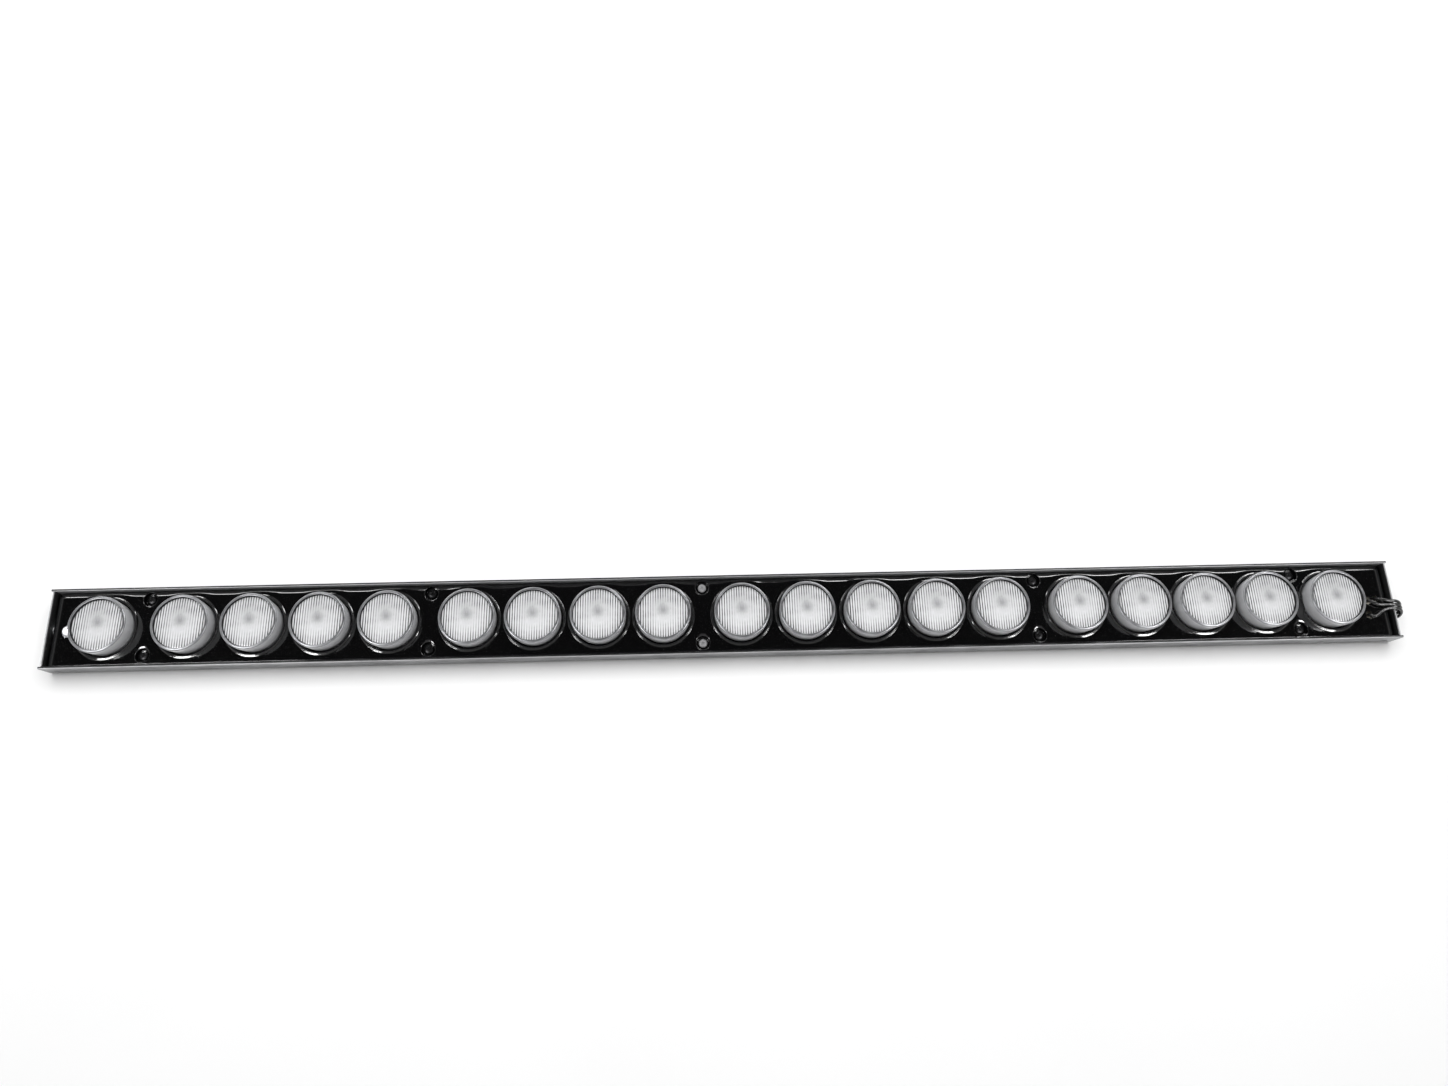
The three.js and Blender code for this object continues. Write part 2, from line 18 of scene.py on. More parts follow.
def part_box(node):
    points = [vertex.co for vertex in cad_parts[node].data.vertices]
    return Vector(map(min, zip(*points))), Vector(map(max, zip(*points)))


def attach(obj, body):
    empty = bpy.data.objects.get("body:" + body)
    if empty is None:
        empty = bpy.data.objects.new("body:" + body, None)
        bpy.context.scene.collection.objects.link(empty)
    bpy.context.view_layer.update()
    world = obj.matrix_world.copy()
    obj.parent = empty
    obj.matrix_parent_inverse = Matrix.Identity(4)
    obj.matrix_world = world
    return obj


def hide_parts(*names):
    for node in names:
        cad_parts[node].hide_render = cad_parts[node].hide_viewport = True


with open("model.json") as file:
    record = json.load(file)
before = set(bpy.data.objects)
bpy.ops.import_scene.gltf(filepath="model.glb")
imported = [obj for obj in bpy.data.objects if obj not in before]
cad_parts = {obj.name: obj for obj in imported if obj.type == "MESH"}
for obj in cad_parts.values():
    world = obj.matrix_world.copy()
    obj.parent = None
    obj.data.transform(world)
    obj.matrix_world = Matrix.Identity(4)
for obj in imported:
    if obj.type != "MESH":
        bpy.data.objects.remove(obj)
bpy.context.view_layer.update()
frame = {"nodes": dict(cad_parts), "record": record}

MM = 0.001
GAP = 0.3 * MM  # the frame leaves this much between two pieces that touch

# %% [markdown]
# ## The camera
# A batten this long is best shown from nearly straight above, with the camera leaning back from its front
# wall so that one side of every barrel shows. A camera can be aimed by a constraint, but a slight roll is
# wanted too, because the batten climbs a little to the right. So its three axes are set directly: the way it
# looks, the way its right side points, and the one square to both. The wide lens stands close enough for the
# outer lamps to lean away from the middle.

# %% Camera
CAMERA_PLACE = Vector((-35.8, -214.3, 1059.1)) * MM
CAMERA_LOOK = Vector((0.0306, 0.3597, -0.9326))
CAMERA_RIGHT = Vector((0.9994, -0.0271, 0.0224))
CAMERA_LENS = 28.7
CAMERA_RISE = -0.083


def aimed(look, right):
    back = -look.normalized()
    up = back.cross(right).normalized()
    side = up.cross(back)
    return Matrix((side, up, back)).transposed()


camera_data = bpy.data.cameras.new("camera")
camera_data.sensor_width = 36
camera_data.lens = CAMERA_LENS
camera_data.shift_y = CAMERA_RISE
camera_data.clip_start = 0.01
camera = bpy.data.objects.new("camera", camera_data)
camera.matrix_world = Matrix.Translation(CAMERA_PLACE) @ aimed(CAMERA_LOOK, CAMERA_RIGHT).to_4x4()
bpy.context.scene.collection.objects.link(camera)
bpy.context.scene.camera = camera
print("camera", round(CAMERA_PLACE.length, 2), "m from the batten's middle")

# %% [markdown]
# ## Finishes: the shared tools
# Every finish here is worked out by nodes from the place on the piece, so it needs no picture. A Principled
# shader takes the plain values on its own sockets. What changes over the surface comes from noise, stretched
# along the way the metal was drawn or the plastic was formed, and goes through a Map Range into roughness, a
# colour mix or a bump. A few small helpers are enough: one starts a finish, one lays a noise, and one spreads
# it over two values. A fourth does one step of arithmetic, for patterns that follow the shape.

# %% Tools for finishes
def start_finish(name, **sockets):
    material = bpy.data.materials.new(name)
    material.use_nodes = True
    shader = material.node_tree.nodes["Principled BSDF"]
    for socket, value in sockets.items():
        shader.inputs[socket.replace("_", " ")].default_value = value
    return material, shader


def lay_noise(material, stretch, detail=4.0, roughness=0.55, offset=(0, 0, 0)):
    nodes, links = material.node_tree.nodes, material.node_tree.links
    place = nodes.new("ShaderNodeTexCoord")
    mapping = nodes.new("ShaderNodeMapping")
    mapping.inputs["Scale"].default_value = stretch
    mapping.inputs["Location"].default_value = offset
    noise = nodes.new("ShaderNodeTexNoise")
    noise.inputs["Scale"].default_value = 1.0
    noise.inputs["Detail"].default_value = detail
    noise.inputs["Roughness"].default_value = roughness
    links.new(place.outputs["Object"], mapping.inputs["Vector"])
    links.new(mapping.outputs["Vector"], noise.inputs["Vector"])
    return noise.outputs["Fac"]


def spread(material, value, low, high, span=(0.3, 0.7)):
    node = material.node_tree.nodes.new("ShaderNodeMapRange")
    node.inputs["From Min"].default_value = span[0]
    node.inputs["From Max"].default_value = span[1]
    node.inputs["To Min"].default_value = low
    node.inputs["To Max"].default_value = high
    material.node_tree.links.new(value, node.inputs["Value"])
    return node.outputs["Result"]


def two_tone(material, shader, value, dark, light, span=(0.3, 0.7)):
    ramp = material.node_tree.nodes.new("ShaderNodeValToRGB")
    ramp.color_ramp.elements[0].position = span[0]
    ramp.color_ramp.elements[0].color = (*dark, 1)
    ramp.color_ramp.elements[1].position = span[1]
    ramp.color_ramp.elements[1].color = (*light, 1)
    material.node_tree.links.new(value, ramp.inputs["Fac"])
    material.node_tree.links.new(ramp.outputs["Color"], shader.inputs["Base Color"])


def rough_between(material, shader, value, low, high, span=(0.3, 0.7)):
    material.node_tree.links.new(spread(material, value, low, high, span), shader.inputs["Roughness"])


def reckon(tree, operation, first, second=0):
    node = tree.nodes.new("ShaderNodeMath")
    node.operation = operation
    for socket, value in zip(node.inputs, (first, second)):
        if isinstance(value, (int, float)):
            socket.default_value = value
        else:
            tree.links.new(value, socket)
    return node.outputs["Value"]


def bump(material, shader, value, depth, strength=1.0):
    node = material.node_tree.nodes.new("ShaderNodeBump")
    node.inputs["Strength"].default_value = strength
    node.inputs["Distance"].default_value = depth
    material.node_tree.links.new(value, node.inputs["Height"])
    material.node_tree.links.new(node.outputs["Normal"], shader.inputs["Normal"])


# %% [markdown]
# ## Finishes: metals
# The channel is mill-finish sheet: the rolls leave fine lines along its length, and handling leaves duller
# patches, so one noise is stretched hard along X and another is left round and large. The barrels are spun
# and lacquered a satin grey, so their marks run round them. A noise that only changes with height does that.
# The channel's sheet gets two more copies for its edges, as painted light: a lighter, less metallic one
# for painted highlights, and a darker one for painted shade and a painted contact shadow.

# %% Metals
def sheet_aluminium(name, dark, light, metallic=1.0):
    material, shader = start_finish(name, Metallic=metallic)
    lines = lay_noise(material, (7, 900, 900), detail=5)
    patches = lay_noise(material, (26, 60, 60), detail=6, roughness=0.7, offset=(3, 1, 2))
    two_tone(material, shader, patches, dark, light, (0.32, 0.62))
    rough_between(material, shader, patches, 0.46, 0.3)
    bump(material, shader, lines, 0.00006, 0.5)
    return material


def lamp_grey():
    material, shader = start_finish("satin_lamp_grey", Metallic=0.15)
    turning = lay_noise(material, (4, 4, 2600), detail=3)
    mottle = lay_noise(material, (90, 90, 90), detail=5)
    two_tone(material, shader, mottle, (0.60, 0.605, 0.62), (0.70, 0.705, 0.72))
    rough_between(material, shader, mottle, 0.3, 0.38)
    bump(material, shader, turning, 0.00002, 0.5)
    return material


def bezel_bright():
    material, shader = start_finish("rolled_bezel", Metallic=1.0)
    mottle = lay_noise(material, (160, 160, 160), detail=4)
    two_tone(material, shader, mottle, (0.26, 0.263, 0.275), (0.40, 0.403, 0.415))
    rough_between(material, shader, mottle, 0.3, 0.38)
    return material


def plated_steel(name, dark, light, rough, metallic=1.0):
    material, shader = start_finish(name, Metallic=metallic)
    mottle = lay_noise(material, (400, 400, 400), detail=5)
    two_tone(material, shader, mottle, dark, light)
    rough_between(material, shader, mottle, rough, rough + 0.14)
    bump(material, shader, mottle, 0.00003, 0.4)
    return material


ALUMINIUM = sheet_aluminium("satin_aluminium", (0.13, 0.132, 0.135), (0.27, 0.272, 0.28))
# Painted highlight and painted shade: lit and shaded copies of the sheet, laid on the rims and the folds.
PAINTED_HIGHLIGHT = sheet_aluminium("painted_highlight_edge", (0.34, 0.343, 0.348), (0.52, 0.523, 0.53), 0.3)
PAINTED_SHADE = sheet_aluminium("painted_shade_edge", (0.05, 0.05, 0.052), (0.10, 0.10, 0.102))
LAMP_GREY = lamp_grey()
BEZEL = bezel_bright()
# The bore's near-black is painted shade for the dark recess round the glass.
BORE_SHADE = plated_steel("bore_painted_shade", (0.03, 0.03, 0.032), (0.06, 0.06, 0.062), 0.4)
ZINC = plated_steel("dull_zinc", (0.20, 0.20, 0.205), (0.32, 0.32, 0.325), 0.4, 0.2)
BLACKENED = plated_steel("blackened_steel", (0.02, 0.02, 0.021), (0.06, 0.06, 0.062), 0.3)
GALVANISED = plated_steel("galvanised_bar", (0.36, 0.37, 0.38), (0.58, 0.59, 0.60), 0.38)
for metal in (ALUMINIUM, PAINTED_HIGHLIGHT, PAINTED_SHADE, LAMP_GREY, BEZEL, BORE_SHADE, ZINC, BLACKENED, GALVANISED):
    print("metal", metal.name)

# %% [markdown]
# ## Finishes: plastics and rubber
# The tray is gloss black sheet that was softened and drawn over a mould, which leaves it mirror-smooth with a
# slight orange peel and a little dust. The leads are soft black PVC, less glossy. A black plastic shows
# nothing but its reflections, so the work is all in roughness and bump.

# %% Plastics and rubber
def tray_black():
    material, shader = start_finish("gloss_black_sheet", Specular_IOR_Level=1.0)
    peel = lay_noise(material, (170, 170, 170), detail=2)
    dust = lay_noise(material, (900, 900, 900), detail=2, roughness=0.5, offset=(5, 2, 1))
    two_tone(material, shader, dust, (0.0015, 0.0015, 0.0017), (0.008, 0.008, 0.0084), (0.62, 0.78))
    rough_between(material, shader, dust, 0.07, 0.3, (0.55, 0.8))
    bump(material, shader, peel, 0.00005, 0.25)
    return material


def soft_black(name, grain, rough, base, shine=0.35):
    material, shader = start_finish(name, Specular_IOR_Level=shine)
    skin = lay_noise(material, (grain, grain, grain), detail=3)
    two_tone(material, shader, skin, base, tuple(3 * c for c in base))
    rough_between(material, shader, skin, rough, rough + 0.15)
    bump(material, shader, skin, 0.00003, 0.4)
    return material


def cream_plastic():
    material, shader = start_finish("cream_nylon")
    mottle = lay_noise(material, (220, 220, 220), detail=4)
    two_tone(material, shader, mottle, (0.58, 0.55, 0.47), (0.70, 0.67, 0.58))
    rough_between(material, shader, mottle, 0.42, 0.56)
    return material


TRAY_BLACK = tray_black()
LEAD_BLACK = soft_black("soft_pvc", 700, 0.14, (0.003, 0.003, 0.0032), 0.8)
RUBBER = soft_black("grommet_rubber", 900, 0.42, (0.012, 0.012, 0.012))
CREAM = cream_plastic()
print("plastics", [m.name for m in (TRAY_BLACK, LEAD_BLACK, RUBBER, CREAM)])

# %% [markdown]
# ## Finishes: reflector and chip
# The reflector is vacuum-metallised: a bright metal, never quite a mirror. The chip's phosphor is pale and
# matt, under a small clear dome.

# %% Reflector and chip
def silvering():
    material, shader = start_finish("silvered_reflector", Metallic=0.96)
    pebble = lay_noise(material, (420, 420, 420), detail=3)
    haze = lay_noise(material, (70, 70, 70), detail=4, offset=(2, 7, 3))
    two_tone(material, shader, haze, (0.86, 0.865, 0.88), (0.95, 0.955, 0.965))
    rough_between(material, shader, haze, 0.3, 0.42)
    bump(material, shader, pebble, 0.0001, 0.5)
    return material


def phosphor():
    material, shader = start_finish("chip_phosphor")
    grain = lay_noise(material, (2500, 2500, 2500), detail=3)
    two_tone(material, shader, grain, (0.30, 0.29, 0.25), (0.42, 0.41, 0.36))
    rough_between(material, shader, grain, 0.5, 0.7)
    return material


SILVER = silvering()
PHOSPHOR = phosphor()
BOARD = plated_steel("chip_board", (0.30, 0.30, 0.31), (0.44, 0.44, 0.45), 0.35)
print("silvering, phosphor and board made")

# %% [markdown]
# ## Making and seating a piece
# Every new piece goes through the same steps: it is linked into the scene, placed, and rides on the batten's
# one body. Where a piece stands for a solid of the frame, the frame's solid is hidden. Most meshes are built
# face by face with bmesh, and end in the same way too: faces outwards, finishes, and smooth shading with
# creases.

# %% Seat a piece
BODY = "root"


def seat(piece, stands_for=(), at=(0, 0, 0)):
    bpy.context.scene.collection.objects.link(piece)
    piece.location = at
    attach(piece, BODY)
    if stands_for:
        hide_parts(*stands_for)
    return piece


def smooth(mesh, crease=35):
    mesh.shade_smooth()
    mesh.set_sharp_from_angle(angle=math.radians(crease))
    return mesh


def made(name, build, materials=(), crease=35):
    """The mesh of what was built, with its faces turned outwards, its finishes and its shading."""
    bmesh.ops.recalc_face_normals(build, faces=build.faces)
    mesh = bpy.data.meshes.new(name)
    build.to_mesh(mesh)
    build.free()
    for material in materials:
        mesh.materials.append(material)
    return smooth(mesh, crease)


def centre(low, high):
    return (low + high) / 2


# %% [markdown]
# ## The leads
# Three thin leads come up through the tray from the terminal block, go over the right end's rim side by side,
# loop down outside it and come back through the grommet. They are limp and held at both ends, so each is one
# smooth curve through listed points, the same points that the frame's solids follow. A Bezier with
# automatic handles would do, but it bulges on uneven points. A centripetal Catmull-Rom curve doesn't, and it
# is what the frame uses, so it is worked out here and laid as a fine poly spline with a round bevel.

# %% The leads' routes
channel_low, channel_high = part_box("channel")
plate_low, plate_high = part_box("end_plate_right")
block_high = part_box("terminal_block")[1]
RIM = channel_high.z
PLATE_FACE = plate_high.x
LEAD_DIAMETER = 2.8 * MM
LEAD_PITCH = LEAD_DIAMETER + 0.5 * MM
LEAD_STRAIGHT = 1.5 * LEAD_DIAMETER
LEAD_SLACK = 0.02 * MM  # the round lead is drawn this much thinner, to stay inside the frame's box
GROMMET_HEIGHT = 10 * MM
RIM_CROSSING = -5.7
LEAD_RISERS = [(-14.7, 0.8), (-21.7, -0.5), (-23.2, -13.4)]
LEAD_RISES = [
    [(-14.4, 0.7, -3.5), (-12.7, 0.2, -0.4), (-9.2, -1, 1.3)],
    [(-21, -1, -2.7), (-18.4, -2.8, -0.4), (-14.4, -4.9, 0.2), (-9.7, -5.6, 0.8)],
    [(-22.5, -14.1, -2.2), (-19.9, -15.7, -0.6), (-16.4, -14.2, -0.4), (-12.4, -11.2, 0.2), (-8.2, -9.5, 1)],
]
LEAD_LOOP = [
    (-4, 0, 1.9), (0, 0, 2.2), (3.5, -0.8, 1.2), (6.2, -2.2, -1.4), (7.4, -3.8, -4.8), (7.2, -5.3, -8.4),
    (5.8, -6.3, -11.8),
]
LEAD_RETURN = [(3.8, -6.9, 0.8), (1.6, -7.1, 0), (-2, -7.1, 0), (-5, -7.1, 0)]


def lead_points(number):
    riser_x, riser_y = LEAD_RISERS[number]
    across = RIM_CROSSING * MM + (1 - number) * LEAD_PITCH
    foot = Vector((PLATE_FACE + riser_x * MM, riser_y * MM, block_high.z + GAP))
    points = [foot, Vector((foot.x, foot.y, block_high.z + LEAD_STRAIGHT))]
    points += [Vector((PLATE_FACE, 0, RIM)) + Vector(step) * MM for step in LEAD_RISES[number]]
    points += [Vector((PLATE_FACE, across, RIM)) + Vector(step) * MM for step in LEAD_LOOP]
    grommet_hole = Vector((PLATE_FACE, across, GROMMET_HEIGHT))
    points += [grommet_hole + Vector(step) * MM for step in LEAD_RETURN]
    points.append(Vector((block_high.x + GAP, points[-1].y, points[-1].z)))
    return points


# %% A centripetal curve through points
def through(points, steps=8):
    first, last = 2 * points[0] - points[1], 2 * points[-1] - points[-2]
    padded = [first, *points, last]
    line = []
    for i in range(1, len(padded) - 2):
        p = padded[i - 1 : i + 3]
        t = [0.0]
        for a, b in zip(p, p[1:]):
            t.append(t[-1] + math.sqrt((b - a).length))
        for step in range(steps):
            u = t[1] + (t[2] - t[1]) * step / steps
            a = [(p[k] * (t[k + 1] - u) + p[k + 1] * (u - t[k])) / (t[k + 1] - t[k]) for k in range(3)]
            b = [(a[k] * (t[k + 2] - u) + a[k + 1] * (u - t[k])) / (t[k + 2] - t[k]) for k in range(2)]
            line.append((b[0] * (t[2] - u) + b[1] * (u - t[1])) / (t[2] - t[1]))
    return [*line, points[-1]]


# %% Lay the leads
def lay_lead(name, number):
    line = through(lead_points(number))
    curve = bpy.data.curves.new(name, "CURVE")
    curve.dimensions = "3D"
    spline = curve.splines.new("POLY")
    spline.points.add(len(line) - 1)
    for point, place in zip(spline.points, line):
        point.co = (*place, 1)
    spline.use_smooth = True
    curve.bevel_depth = LEAD_DIAMETER / 2 - LEAD_SLACK
    curve.bevel_resolution = 6
    curve.use_fill_caps = True
    curve.materials.append(LEAD_BLACK)
    lead = seat(bpy.data.objects.new(name + "_flex", curve), [name])


for number, name in enumerate(("lead_upper", "lead_middle", "lead_lower")):
    lay_lead(name, number)

# %% [markdown]
# ## Turned pieces
# Barrels, reflectors, screws and rivets are all round, so one helper turns them: it takes a profile of radius
# and height points and joins rings of vertices. A profile that starts and ends on the axis makes a closed
# body, and one that comes back to its own start makes a closed ring. Corners that the light should catch get
# an arc instead of a point. A Screw modifier would turn a profile too, but it leaves a seam and can't give
# the bezel its own finish.

# %% Turn a profile
def arc(centre_r, centre_z, radius, start, end, steps):
    angles = [math.radians(start + (end - start) * i / steps) for i in range(steps + 1)]
    return [(centre_r + radius * math.cos(a), centre_z + radius * math.sin(a)) for a in angles]


def turn(name, profile, sides, materials, ring=False, finish=lambda r, z: 0, crease=35):
    build = bmesh.new()
    rows = []
    for r, z in profile:
        if r < 1e-7:
            rows.append([build.verts.new((0, 0, z))])
            continue
        angles = [2 * math.pi * i / sides for i in range(sides)]
        rows.append([build.verts.new((r * math.cos(a), r * math.sin(a), z)) for a in angles])
    pairs = list(zip(range(len(rows)), range(1, len(rows))))
    if ring:
        pairs.append((len(rows) - 1, 0))
    for a, b in pairs:
        mid_r = (profile[a][0] + profile[b][0]) / 2
        mid_z = (profile[a][1] + profile[b][1]) / 2
        for i in range(sides):
            j = (i + 1) % sides
            low, high = rows[a], rows[b]
            if len(low) == 1:
                corners = [low[0], high[j], high[i]]
            elif len(high) == 1:
                corners = [low[i], low[j], high[0]]
            else:
                corners = [low[i], low[j], high[j], high[i]]
            build.faces.new(corners).material_index = finish(mid_r, mid_z)
    return made(name, build, materials, crease)


# %% [markdown]
# ## The lamp barrels
# Each barrel is a spun cup: a small foot on the bar, a slightly tapered wall, and a front edge rolled over in
# a soft round to a narrow bezel. The glass sits a little way down the bore, which is coloured near-black as
# painted shade for the dark recess round the glass. The rolled edge is what the light picks out, so it is a
# true arc of many rings, and the bezel is a little brighter than the wall.

# %% Sizes of a lamp
LAMP_COUNT = sum(1 for name in frame["nodes"] if name.startswith("lamp_housing_"))
lamp_names = [f"{n:02d}" for n in range(1, LAMP_COUNT + 1)]
housing_low, housing_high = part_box("lamp_housing_01")
LAMP_RADIUS = max(housing_high.x - housing_low.x, housing_high.y - housing_low.y) / 2
LAMP_FOOT, LAMP_FRONT = housing_low.z, housing_high.z
glass_low, glass_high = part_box("lamp_glass_01")
GLASS_RADIUS = max(glass_high.x - glass_low.x, glass_high.y - glass_low.y) / 2
lamp_x = [centre(*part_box("lamp_housing_" + n)).x for n in lamp_names]
FOOT_RADIUS = 19 * MM
TAPER = 1.3 * MM
FOOT_RISE = 8 * MM
SHOULDER = 1.6 * MM
BEZEL_ROUND = 0.6 * MM
BORE = GLASS_RADIUS + GAP
SEAT = glass_low.z - GAP
LEDGE = 2 * MM
BARREL_WALL = 3.2 * MM
BARREL_FLOOR = LAMP_FOOT + 3.6 * MM
print(LAMP_COUNT, "lamps of", round(2 * LAMP_RADIUS / MM, 1), "mm, glass", round(2 * GLASS_RADIUS / MM, 1))

# %% Barrels
BARREL_SIDES = 128
EDGE = 0.3 * MM


def barrel_profile():
    waist = LAMP_RADIUS - TAPER
    shoulder_z = LAMP_FRONT - SHOULDER
    inside = LAMP_RADIUS - BARREL_WALL
    return [
        (0, LAMP_FOOT),
        (FOOT_RADIUS - 2 * EDGE, LAMP_FOOT),
        (FOOT_RADIUS, LAMP_FOOT + EDGE),
        (waist - EDGE, LAMP_FOOT + FOOT_RISE - 2 * EDGE),
        (waist, LAMP_FOOT + FOOT_RISE),
        (LAMP_RADIUS - 0.1 * MM, shoulder_z - 4 * MM),
        *arc(LAMP_RADIUS - SHOULDER, shoulder_z, SHOULDER, 0, 90, 10),
        *arc(BORE + BEZEL_ROUND, LAMP_FRONT - BEZEL_ROUND, BEZEL_ROUND, 90, 180, 6),
        (BORE, SEAT + EDGE),
        (BORE - EDGE, SEAT),
        (BORE - LEDGE + EDGE / 2, SEAT),
        (BORE - LEDGE, SEAT - EDGE),
        (BORE - LEDGE, SEAT - 3 * EDGE),
        (inside, SEAT - 4 * EDGE),
        (inside, BARREL_FLOOR),
        (0, BARREL_FLOOR),
    ]


def barrel_finish(r, z):
    if z > LAMP_FRONT - 0.8 * SHOULDER and r > BORE + 0.1 * BEZEL_ROUND:
        return 1
    # Faces down the bore and inside the barrel wear the near-black painted shade.
    return 2 if r < BORE + BEZEL_ROUND and z > BARREL_FLOOR else 0


barrel_mesh = turn("barrel", barrel_profile(), BARREL_SIDES, [LAMP_GREY, BEZEL, BORE_SHADE],
                   finish=barrel_finish, crease=50)
for n, x in zip(lamp_names, lamp_x):
    seat(bpy.data.objects.new("barrel_" + n, barrel_mesh), ["lamp_housing_" + n], (x, 0, 0))
print("barrel", len(barrel_mesh.polygons), "faces each")

# %% [markdown]
# ## The reflectors and their chips
# Behind the glass each lamp has a metallised parabola with the chip at its foot. It could be left out behind
# the flutes, but its bright bowl and the small dull spot in the middle make the glass read as a lamp.
# The parabola is drawn by its formula, as a thin closed shell that hangs from the glass's ledge. The chip is
# a small board with a domed lens.

# %% Reflector, board and chip
REFLECTOR_SIDES = 96
REFLECTOR_SHEET = 0.25 * MM
REFLECTOR_RIM = BORE - LEDGE - 0.1 * MM
REFLECTOR_THROAT = 5.4 * MM
REFLECTOR_TOP = SEAT - 0.4 * MM
REFLECTOR_FOOT = BARREL_FLOOR + 0.7 * MM
REFLECTOR_STEPS = 22


def parabola(radius):
    share = (radius**2 - REFLECTOR_THROAT**2) / (REFLECTOR_RIM**2 - REFLECTOR_THROAT**2)
    return REFLECTOR_FOOT + share * (REFLECTOR_TOP - REFLECTOR_FOOT)


def evenly(start, end, count):
    return [start + (end - start) * i / count for i in range(count + 1)]


bowl = [(r, parabola(r)) for r in evenly(REFLECTOR_THROAT, REFLECTOR_RIM, REFLECTOR_STEPS)]
shell = [(r + REFLECTOR_SHEET, z - REFLECTOR_SHEET / 4) for r, z in reversed(bowl)]
reflector_mesh = turn("reflector", bowl + shell, REFLECTOR_SIDES, [SILVER], ring=True)

BOARD_EDGE = 0.1 * MM
BOARD_RADIUS = REFLECTOR_THROAT - BOARD_EDGE
BOARD_FOOT = BARREL_FLOOR + BOARD_EDGE
BOARD_TOP = BARREL_FLOOR + 0.9 * MM
CHIP_RADIUS = 2.4 * MM
DOME_RISE = 0.8 * CHIP_RADIUS
SMALL_SIDES = 40
board_profile = [
    (0, BOARD_FOOT), (BOARD_RADIUS, BOARD_FOOT), (BOARD_RADIUS, BOARD_TOP - BOARD_EDGE),
    (BOARD_RADIUS - BOARD_EDGE, BOARD_TOP), (0, BOARD_TOP),
]
dome = [
    (CHIP_RADIUS * math.cos(a), BOARD_TOP + EDGE + DOME_RISE * math.sin(a))
    for a in [math.radians(10 * k) for k in range(9)]
]
chip_foot = [(0, BOARD_TOP), (CHIP_RADIUS + EDGE, BOARD_TOP), (CHIP_RADIUS + EDGE, BOARD_TOP + EDGE)]
board_mesh = turn("board", board_profile, SMALL_SIDES, [BOARD])
chip_mesh = turn("chip", [*chip_foot, *dome, (0, BOARD_TOP + EDGE + DOME_RISE)], SMALL_SIDES, [PHOSPHOR])
for n, x in zip(lamp_names, lamp_x):
    seat(bpy.data.objects.new("reflector_" + n, reflector_mesh), at=(x, 0, 0))
    seat(bpy.data.objects.new("chip_board_" + n, board_mesh), at=(x, 0, 0))
    seat(bpy.data.objects.new("chip_" + n, chip_mesh), at=(x, 0, 0))
print("reflector", len(reflector_mesh.polygons), "faces each")

# %% [markdown]
# ## The fluted glasses
# The front glass is pressed, smooth and slightly crowned outside, with a row of half-round flutes inside that
# spread the beam. Flutes could be a bump, but they bend what is seen through them, which only real geometry
# does. The disc is laid in columns that follow the flutes. Their spacing closes up towards the two sides, so
# the same columns also draw a round edge. What a flute shows, a bright line beside a dark one, comes from the
# whole room, and a plain studio has little in it to show. So the glass's colour paints the rest as painted
# light and shade: a wave of painted shade in each groove, mostly at the sides, a soft painted grey above the
# middle and a small painted spot where the chip shows through.

# %% Glasses
FLUTES = 20
FLUTE_DEPTH = 0.6 * MM
GLASS_CROWN = 0.65 * MM
GLASS_EDGE = 0.25 * MM
EDGE_START = 0.94  # share of the radius squared where the edge begins to roll over
COLUMNS = 190
ROWS = 16
FLUTE_PITCH = 2 * GLASS_RADIUS / FLUTES
WAVES_PER_RADIUS = math.pi * FLUTES / 20  # the wave texture's own scale for this many flutes
SPOT_UP = 0.08
DOME_UP = 0.25


def fluted_glass():
    material, shader = start_finish("fluted_glass", Transmission_Weight=0.3, IOR=1.47)
    tree = material.node_tree

    def place(scale, middle=(0, 0)):
        """The place on the disc in radii, stretched and moved."""
        mapping = tree.nodes.new("ShaderNodeMapping")
        mapping.inputs["Scale"].default_value = (scale[0] / GLASS_RADIUS, scale[1] / GLASS_RADIUS, 0)
        mapping.inputs["Location"].default_value = (-middle[0] * scale[0], -middle[1] * scale[1], 0)
        tree.links.new(tree.nodes.new("ShaderNodeTexCoord").outputs["Object"], mapping.inputs["Vector"])
        return mapping.outputs["Vector"]

    def away(scale, middle=(0, 0)):
        """How far that place is from the middle."""
        length = tree.nodes.new("ShaderNodeVectorMath")
        length.operation = "LENGTH"
        tree.links.new(place(scale, middle), length.inputs[0])
        return length.outputs["Value"]

    # Painted light and shade on the glass: the grooves' wave, the grey dome above the middle and the chip's
    # spot all darken its colour.
    wave = tree.nodes.new("ShaderNodeTexWave")
    wave.inputs["Scale"].default_value = WAVES_PER_RADIUS
    wave.inputs["Distortion"].default_value = 0.25
    wave.inputs["Detail Scale"].default_value = 0.6
    tree.links.new(place((1, 1)), wave.inputs["Vector"])
    groove_shade = spread(material, wave.outputs["Fac"], 1.0, 0.0, (0.0, 0.8))
    clouds = lay_noise(material, (70, 110, 40), detail=3)
    strength = reckon(tree, "ADD", spread(material, away((1, 0.75)), 0.1, 1.1, (0.3, 0.9)),
                      spread(material, clouds, -0.2, 0.25))
    dome = spread(material, away((1.15, 0.9), (0, DOME_UP)), 0.36, 0.0, (0.1, 0.8))
    chip_spot_shade = spread(material, away((1, 1), (0, SPOT_UP)), 0.24, 0.0, (0.05, 0.3))
    shade = reckon(tree, "ADD", reckon(tree, "MULTIPLY", groove_shade, strength), reckon(tree, "ADD", dome, chip_spot_shade))
    two_tone(material, shader, shade, (0.95, 0.955, 0.97), (0.05, 0.05, 0.055), (0.0, 1.0))
    rough_between(material, shader, clouds, 0.1, 0.2)
    return material


GLASS = fluted_glass()


def flute(x):
    across = (x / FLUTE_PITCH) % 1.0 - 0.5
    return FLUTE_DEPTH * (1 - 4 * across * across)


